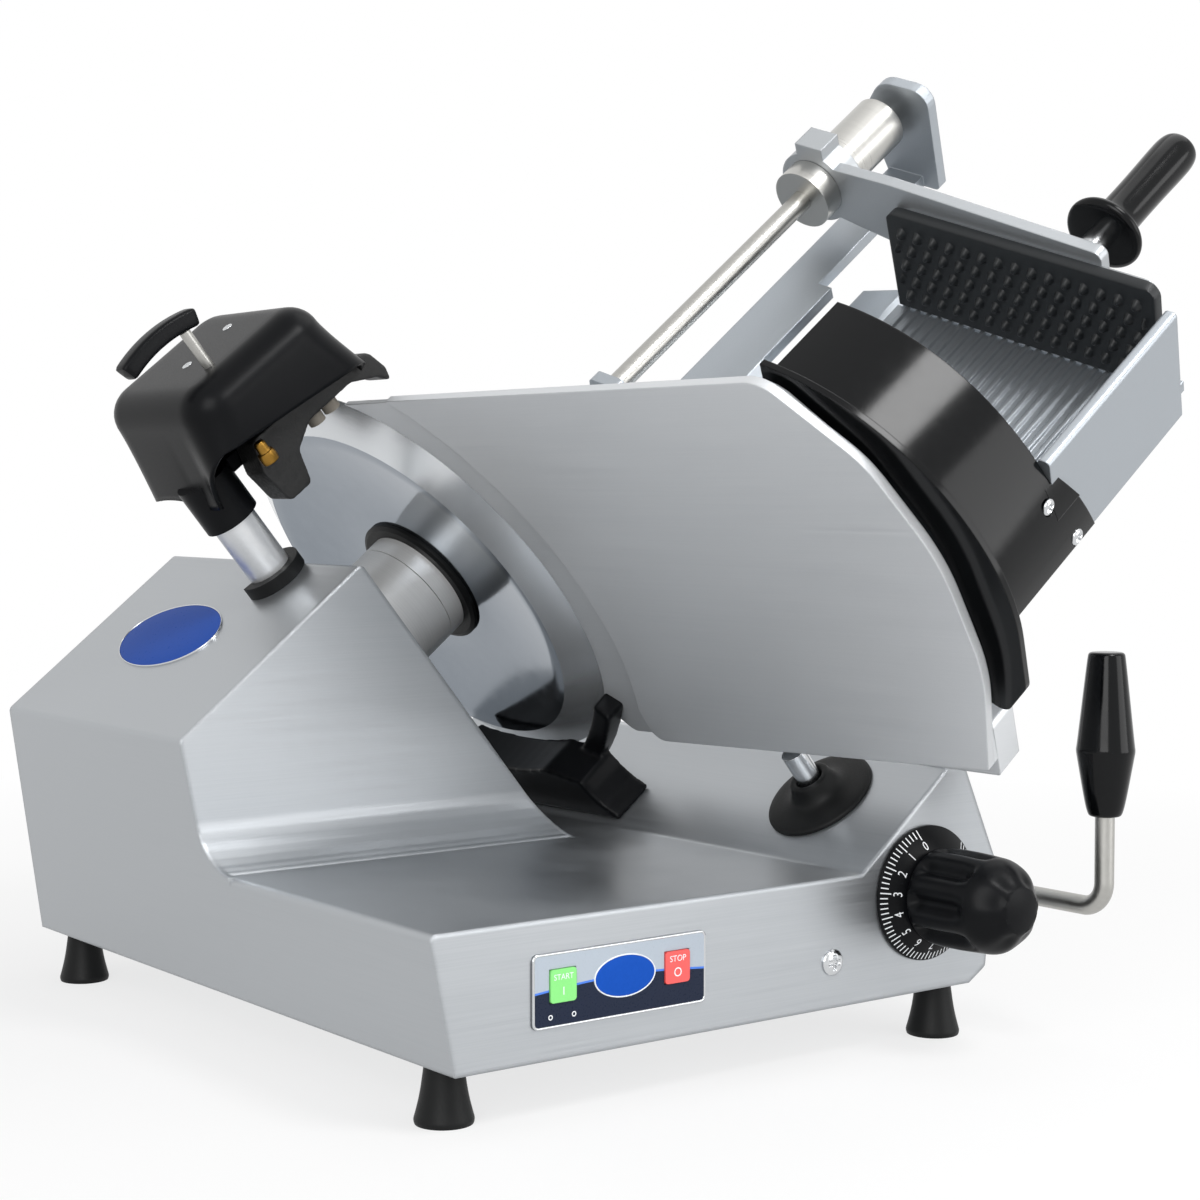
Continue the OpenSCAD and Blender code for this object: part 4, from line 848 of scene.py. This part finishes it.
# %% Guard cheek
GUARD_R, GUARD_S, GUARD_Q, GUARD_T, PROUD = 134.0, 117.4, 12.4, 4.5, 0.1
CHEEK_Q, CHEEK_FROM, CHEEK_TO, CHEEK_SLANT, SLANT_FROM = (40, 61), 166, 187.5, 0.5, 42


def arch_s(r, q):
    """The near side of the guard's arch: on a circle of radius r, at the height q."""
    return GUARD_S - np.sqrt(r ** 2 - (q - GUARD_Q) ** 2)


cheek_q = np.linspace(*CHEEK_Q, 9)[:, None]
cheek_end = CHEEK_TO - CHEEK_SLANT * (cheek_q - SLANT_FROM)
cheek_d = CHEEK_FROM + (cheek_end - CHEEK_FROM) * np.linspace(0, 1, 6)
cheek_sides = [np.stack([cheek_d, arch_s(r, cheek_q) + 0 * cheek_d, cheek_q + 0 * cheek_d], -1)
               for r in (GUARD_R + PROUD, GUARD_R - GUARD_T)]
cheek_edge = patch(trough(np.stack([border(g) for g in cheek_sides])), wrap_v=True)
piece("guard_cheek", [patch(trough(g)) for g in cheek_sides] + [cheek_edge], gloss_black, "carriage")

# %% [markdown]
# ## Screws
# Each head is a low dome with a cross pressed into it: the dome's height less the depth of two bars.
# A dark cross in a texture would look the same from afar, but it would be flat in the exported mesh.

# %% Cross-head screws
GUARD_SCREWS = ((163, 52), (178, 18))
FRONT_SCREW = (272, 0, 28)
HOOD_SCREWS = ((20, 336), (61, 341))
GUARD_SINK, HOOD_SINK = 0.4, 0.1
# Shares of a head's radius, and of its height for the depth.
CROSS_HALF_W, CROSS_HALF_L, FADE_W, FADE_L, CROSS_DEEP = 0.2, 0.62, 0.08, 0.12, 0.6


def cross_arm(a, b):
    """One bar of the cross: 1 inside it, fading to 0 at its sides and ends."""
    beside = np.clip((CROSS_HALF_W - np.abs(a)) / FADE_W, 0, 1)
    return beside * np.clip((CROSS_HALF_L - np.abs(b)) / FADE_L, 0, 1)


def cross_head(where, axis, at, radius, height, way=-1):
    """A polar grid: a shallow dome, lowered by a cross whose arms fade at their sides and ends."""
    share = np.concatenate([np.linspace(0, 1, 22), [1.0]])[:, None]
    angle = full_turn(72)
    x, y = share * np.cos(angle), share * np.sin(angle)
    dome = height * (1 - 0.35 * share ** 2 - 0.35 * share ** 8)
    rise = dome - CROSS_DEEP * height * np.maximum(cross_arm(x, y), cross_arm(y, x))
    rise[-1] = 0
    ring = [radius * x, radius * y]
    ring.insert(axis, way * rise)
    return patch(where(np.stack(ring, -1) + np.asarray(at, float)), wrap_v=True)


on_guard = [cross_head(trough, axis=1, at=(d, arch_s(GUARD_R, q) + GUARD_SINK, q), radius=5.0, height=2.4)
            for d, q in GUARD_SCREWS]
on_hood = [cross_head(tilted, axis=2, at=(d, y, HOOD_TOP - HOOD_SINK), radius=3.6, height=1.0, way=1)
           for d, y in HOOD_SCREWS]
piece("guard_screw_heads", on_guard, bright_rod, "carriage", ["guard_screws"])
piece("front_screw_head", [cross_head(placed, axis=1, at=FRONT_SCREW, radius=8.0, height=3.0)],
      bright_rod, "base", ["front_screw"])
piece("hood_screw_heads", on_hood, bright_rod, "sharpener")

# %% [markdown]
# ## Pusher
# The pusher's face is moulded rubber with rows of blunt studs, each row half a step aside from the last.
# One height field makes them all: the distance to the nearest stud's centre sets the height.

# %% Studs of the pusher
PAD = dict(d=316.0, s=12.0, w=186.0, q=2.0, h=75.0, t=7.0)
GRID_S, GRID_Q = 260, 108
PITCH_S, PITCH_Q, STUD, STUD_HALF_S, STUD_HALF_Q = 11.6, 12.2, 4.6, 3.0, 4.2
FIRST_STUD, LAST_ROW, BARE_EDGE = 12, 4, 7
u, v = np.meshgrid(np.linspace(0, PAD["w"], GRID_S), np.linspace(0, PAD["h"], GRID_Q))
row = np.round((v - FIRST_STUD) / PITCH_Q)
off_q = v - FIRST_STUD - row * PITCH_Q
shift = np.where(row % 2 == 0, 0, PITCH_S / 2)
off_s = (u - FIRST_STUD - shift + PITCH_S / 2) % PITCH_S - PITCH_S / 2
inside = (row >= 0) & (row <= LAST_ROW) & (u > BARE_EDGE) & (u < PAD["w"] - BARE_EDGE)
near = np.hypot(off_s / STUD_HALF_S, off_q / STUD_HALF_Q)
height = np.where(inside, STUD * np.clip(1 - near ** 2, 0, 1) ** 0.8, 0)
print("highest stud:", height.max().round(2), "mm")

# %% [markdown]
# The pad's front edge is a quarter round, and its two upper corners are drawn in to a radius: points
# that lie outside the corner's circle are pulled back on to it.

# %% Pusher pad
EDGE_R, TOP_R = 2.0, 9.0
to_side = np.minimum(np.minimum(u, PAD["w"] - u), np.minimum(v, PAD["h"] - v))
lip = EDGE_R - np.sqrt(np.clip(EDGE_R ** 2 - (EDGE_R - np.clip(to_side, 0, EDGE_R)) ** 2, 0, EDGE_R ** 2))
dx, dy = np.maximum(TOP_R - np.minimum(u, PAD["w"] - u), 0), np.maximum(v - PAD["h"] + TOP_R, 0)
over = np.hypot(dx, dy)
pull = np.where(over > TOP_R, TOP_R / np.maximum(over, 1e-6), 1)
pull_s = np.where(dx > 0, pull, 1)
u = np.where(u < PAD["w"] / 2, TOP_R - (TOP_R - u) * pull_s,
             PAD["w"] - TOP_R + (u - PAD["w"] + TOP_R) * pull_s)
v = np.where(dy > 0, PAD["h"] - TOP_R + dy * pull, v)
face_grid = np.stack([PAD["d"] - height + lip, PAD["s"] + u, PAD["q"] + v], -1)
back_grid = np.stack([0 * u + PAD["d"] + PAD["t"], PAD["s"] + u, PAD["q"] + v], -1)
back_corners = back_grid[::GRID_Q - 1, ::GRID_S - 1]
skirt = patch(trough(np.stack([border(face_grid), border(back_grid)])), wrap_v=True)
piece("pusher_face", [patch(trough(face_grid)), patch(trough(back_corners)), skirt],
      stud_rubber, "pusher", ["pusher_pad"], sharp=50)

# %% [markdown]
# ## Floor's end
# The table's floor ends in a low lip across the feed: a rectangle at two heights, closed at both.

# %% Lip at the end of the table's floor
FLOOR_END = dict(d=(317.5, 329.0), s=(4.0, 196.0), q=(-6.0, 1.2))
square = np.array([[0, 0], [1, 0], [1, 1], [0, 1]])
end_d, end_s = [np.array(FLOOR_END[k])[square[:, i]] for i, k in enumerate("ds")]
end_levels = np.stack([np.stack([end_d, end_s, np.full(4, q)], -1) for q in FLOOR_END["q"]])
end_skin, end_walls = patch(trough(end_levels), wrap_v=True)
piece("floor_end", [(end_skin, end_walls + [[0, 1, 2, 3], [4, 5, 6, 7]])], cast_satin, "carriage")

# %% [markdown]
# ## Turned grips, feet and boot
# Grips and feet are turned shapes. A profile of a few points is eased by cutting its corners, which
# gives the soft lines of a moulding; a doubled point keeps an edge.

# %% Handle grip and pusher grip
HANDLE_AT, PUSHER_GRIP_AT, GRIP_OUT = (425, -79, 112), (334, 68.5, 71.5), 18
handle_line = eased([[6, 0], [9, 0], [10.5, 1.5], [12.5, 9], [17.4, 37], [18, 40.5], [17.4, 44],
                     [11.6, 97], [10.8, 100.5], [7, 101], [0, 101]])
piece("carriage_handle", [turned(handle_line, placed, axis=2, at=HANDLE_AT, steps=96)],
      gloss_black, "carriage", ["handle_grip"], sharp=50)
grip_line = eased([[8, 0], [15, 0], [23, 1], [25, 4], [23.5, 7.5], [16, 10.5], [13.4, 15], [12.8, 24],
                   [12.8, 50], [13.4, 76], [13.2, 86], [11.5, 92], [6, 93.5], [0, 93.5]])
piece("pusher_handle", [turned(grip_line + [0, GRIP_OUT], trough, axis=0, at=PUSHER_GRIP_AT, steps=96)],
      gloss_black, "pusher", ["pusher_grip"], sharp=50)

# %% [markdown]
# The feet widen to the floor, and the boot spreads from the post over the slot in the deck. Both are
# moulded rubber and are turned in the same way as the grips.

# %% Feet and boot
FEET_AT, BOOT_AT = [(16, 35), (378, 20), (16, 495), (374, 495)], (94, 84, -270.61)
foot_line = eased([[2.6, 0], [11, 0], [11, 0], [11.4, -4], [13.4, -18], [16.2, -29], [17, -31.5],
                   [16.4, -34], [16, -34], [0, -34]], times=2)
piece("rubber_feet", [turned(foot_line, placed, axis=2, at=(x, y, 0), steps=64) for x, y in FEET_AT],
      rubber_black, "base", ["feet"], sharp=50)
boot_line = eased([[8.2, 0.3], [37, 0.3], [37, 0.3], [37, 2.4], [34, 3.6], [20, 5], [16, 9], [14, 16],
                   [13.4, 17], [8.2, 17.2], [8.2, 0.3]], times=2)
piece("post_bellows", [turned(boot_line, tilted, axis=2, at=BOOT_AT, steps=96)],
      rubber_black, "gauge", ["post_boot"], sharp=50)

# %% [markdown]
# ## Brass adjuster under the hood
# A small brass screw shows below the hood beside the fork. Only its outline can be seen, so a turned
# shape with a step is enough, and a thread would be lost at this size.

# %% Brass adjuster
ADJUSTER_AT = (9, 291, 18)
nut_line = eased([[0, 58], [5, 58], [6, 59], [6, 66], [4, 66.5], [4, 74], [0, 74]], times=1)
piece("brass_adjuster", [turned(nut_line, tilted, axis=2, at=ADJUSTER_AT, steps=32)],
      brass, "sharpener")

# %% [markdown]
# ## Studio
# The picture has a white ground and soft light from the front. A large floor runs to the horizon; to
# the camera it is mostly plain white, so that only the machine's soft shadow is left on it.

# %% Floor
FLOOR_HALF, WHITE_FROM, WHITE_TO, WHITE_NEAR = 30, 0.5, 1.6, 0.72


def seen_ray(tree):
    """1 for rays from the camera and for those that come back from a mirror or through glass, else 0."""
    path = add(tree, "LightPath").outputs
    seen = add(tree, "Math", {0: path["Is Camera Ray"], 1: path["Is Glossy Ray"]}, operation="MAXIMUM")
    return add(tree, "Math", {0: seen.outputs[0], 1: path["Is Transmission Ray"]},
               operation="MAXIMUM").outputs[0]


corners = [(x * FLOOR_HALF, y * FLOOR_HALF, 0) for x, y in ((-1, -1), (1, -1), (1, 1), (-1, 1))]
floor_mesh = bpy.data.meshes.new("floor")
floor_mesh.from_pydata(corners, [], [(0, 1, 2, 3)])
floor = bpy.data.objects.new("floor", floor_mesh)
bpy.context.scene.collection.objects.link(floor)
# Matt white that takes a soft shadow and gives no reflection.
paper, tree, shader = blank("white paper floor")
shader.inputs["Base Color"].default_value = srgb("#F2F2F2")
shader.inputs["Roughness"].default_value = 0.8
spot = add(tree, "TexCoord").outputs["Object"]
away = add(tree, "VectorMath", {0: spot}, operation="LENGTH").outputs["Value"]
plain = add(tree, "MapRange", {"Value": away, "From Min": WHITE_FROM, "From Max": WHITE_TO,
                               "To Min": WHITE_NEAR, "To Max": 1.0})
share = add(tree, "Math", {0: seen_ray(tree), 1: plain.outputs[0]}, operation="MULTIPLY").outputs[0]
glow = add(tree, "Emission", {"Color": (1, 1, 1, 1), "Strength": 1.0}).outputs[0]
both = add(tree, "MixShader", {0: share, 1: shader.outputs[0], 2: glow}).outputs[0]
tree.links.new(both, tree.nodes["Material Output"].inputs["Surface"])
floor_mesh.materials.append(paper)
print("floor:", 2 * FLOOR_HALF, "m square")

# %% [markdown]
# The world is white to the camera and to mirrors, and a plain low level of light to everything else.

# %% World
AMBIENT = 0.45
world = bpy.data.worlds.new("studio")
bpy.context.scene.world = world
world.use_nodes = True
tree = world.node_tree
level = add(tree, "MapRange", {"Value": seen_ray(tree), "To Min": AMBIENT, "To Max": 1.0}).outputs[0]
tree.links.new(level, tree.nodes["Background"].inputs["Strength"])
tree.nodes["Background"].inputs["Color"].default_value = (1, 1, 1, 1)
print("ambient light:", AMBIENT)

# %% [markdown]
# Four square soft lights: a key from the left, a fill from the right, a small one that draws the light
# on the guard, and a weak one over the table.

# %% Lamps
def lamp(name, place, target, size, power):
    """A square soft light that faces its target."""
    data = bpy.data.lights.new(name, "AREA")
    data.shape, data.size, data.energy = "SQUARE", size, power
    obj = bpy.data.objects.new(name, data)
    obj.location = place
    look = np.array(target) - np.array(place)
    down, round_z = np.arctan2(np.hypot(look[0], look[1]), -look[2]), np.arctan2(look[1], look[0])
    obj.rotation_euler = (down, 0, round_z - np.pi / 2)
    bpy.context.scene.collection.objects.link(obj)
    print("lamp", name, power, "W")


lamp("key", (-1.7, -1.5, 1.1), (0.1, 0.1, 0.2), size=1.5, power=29)
lamp("fill", (1.5, -2.0, 0.6), (0.2, 0.1, 0.2), size=1.4, power=17)
lamp("strip", (0.36, -1.17, 1.64), (0.19, -0.17, 0.4), size=0.55, power=16)
lamp("top", (1.0, 0.0, 1.9), (0.15, 0.2, 0.2), size=1.2, power=6)
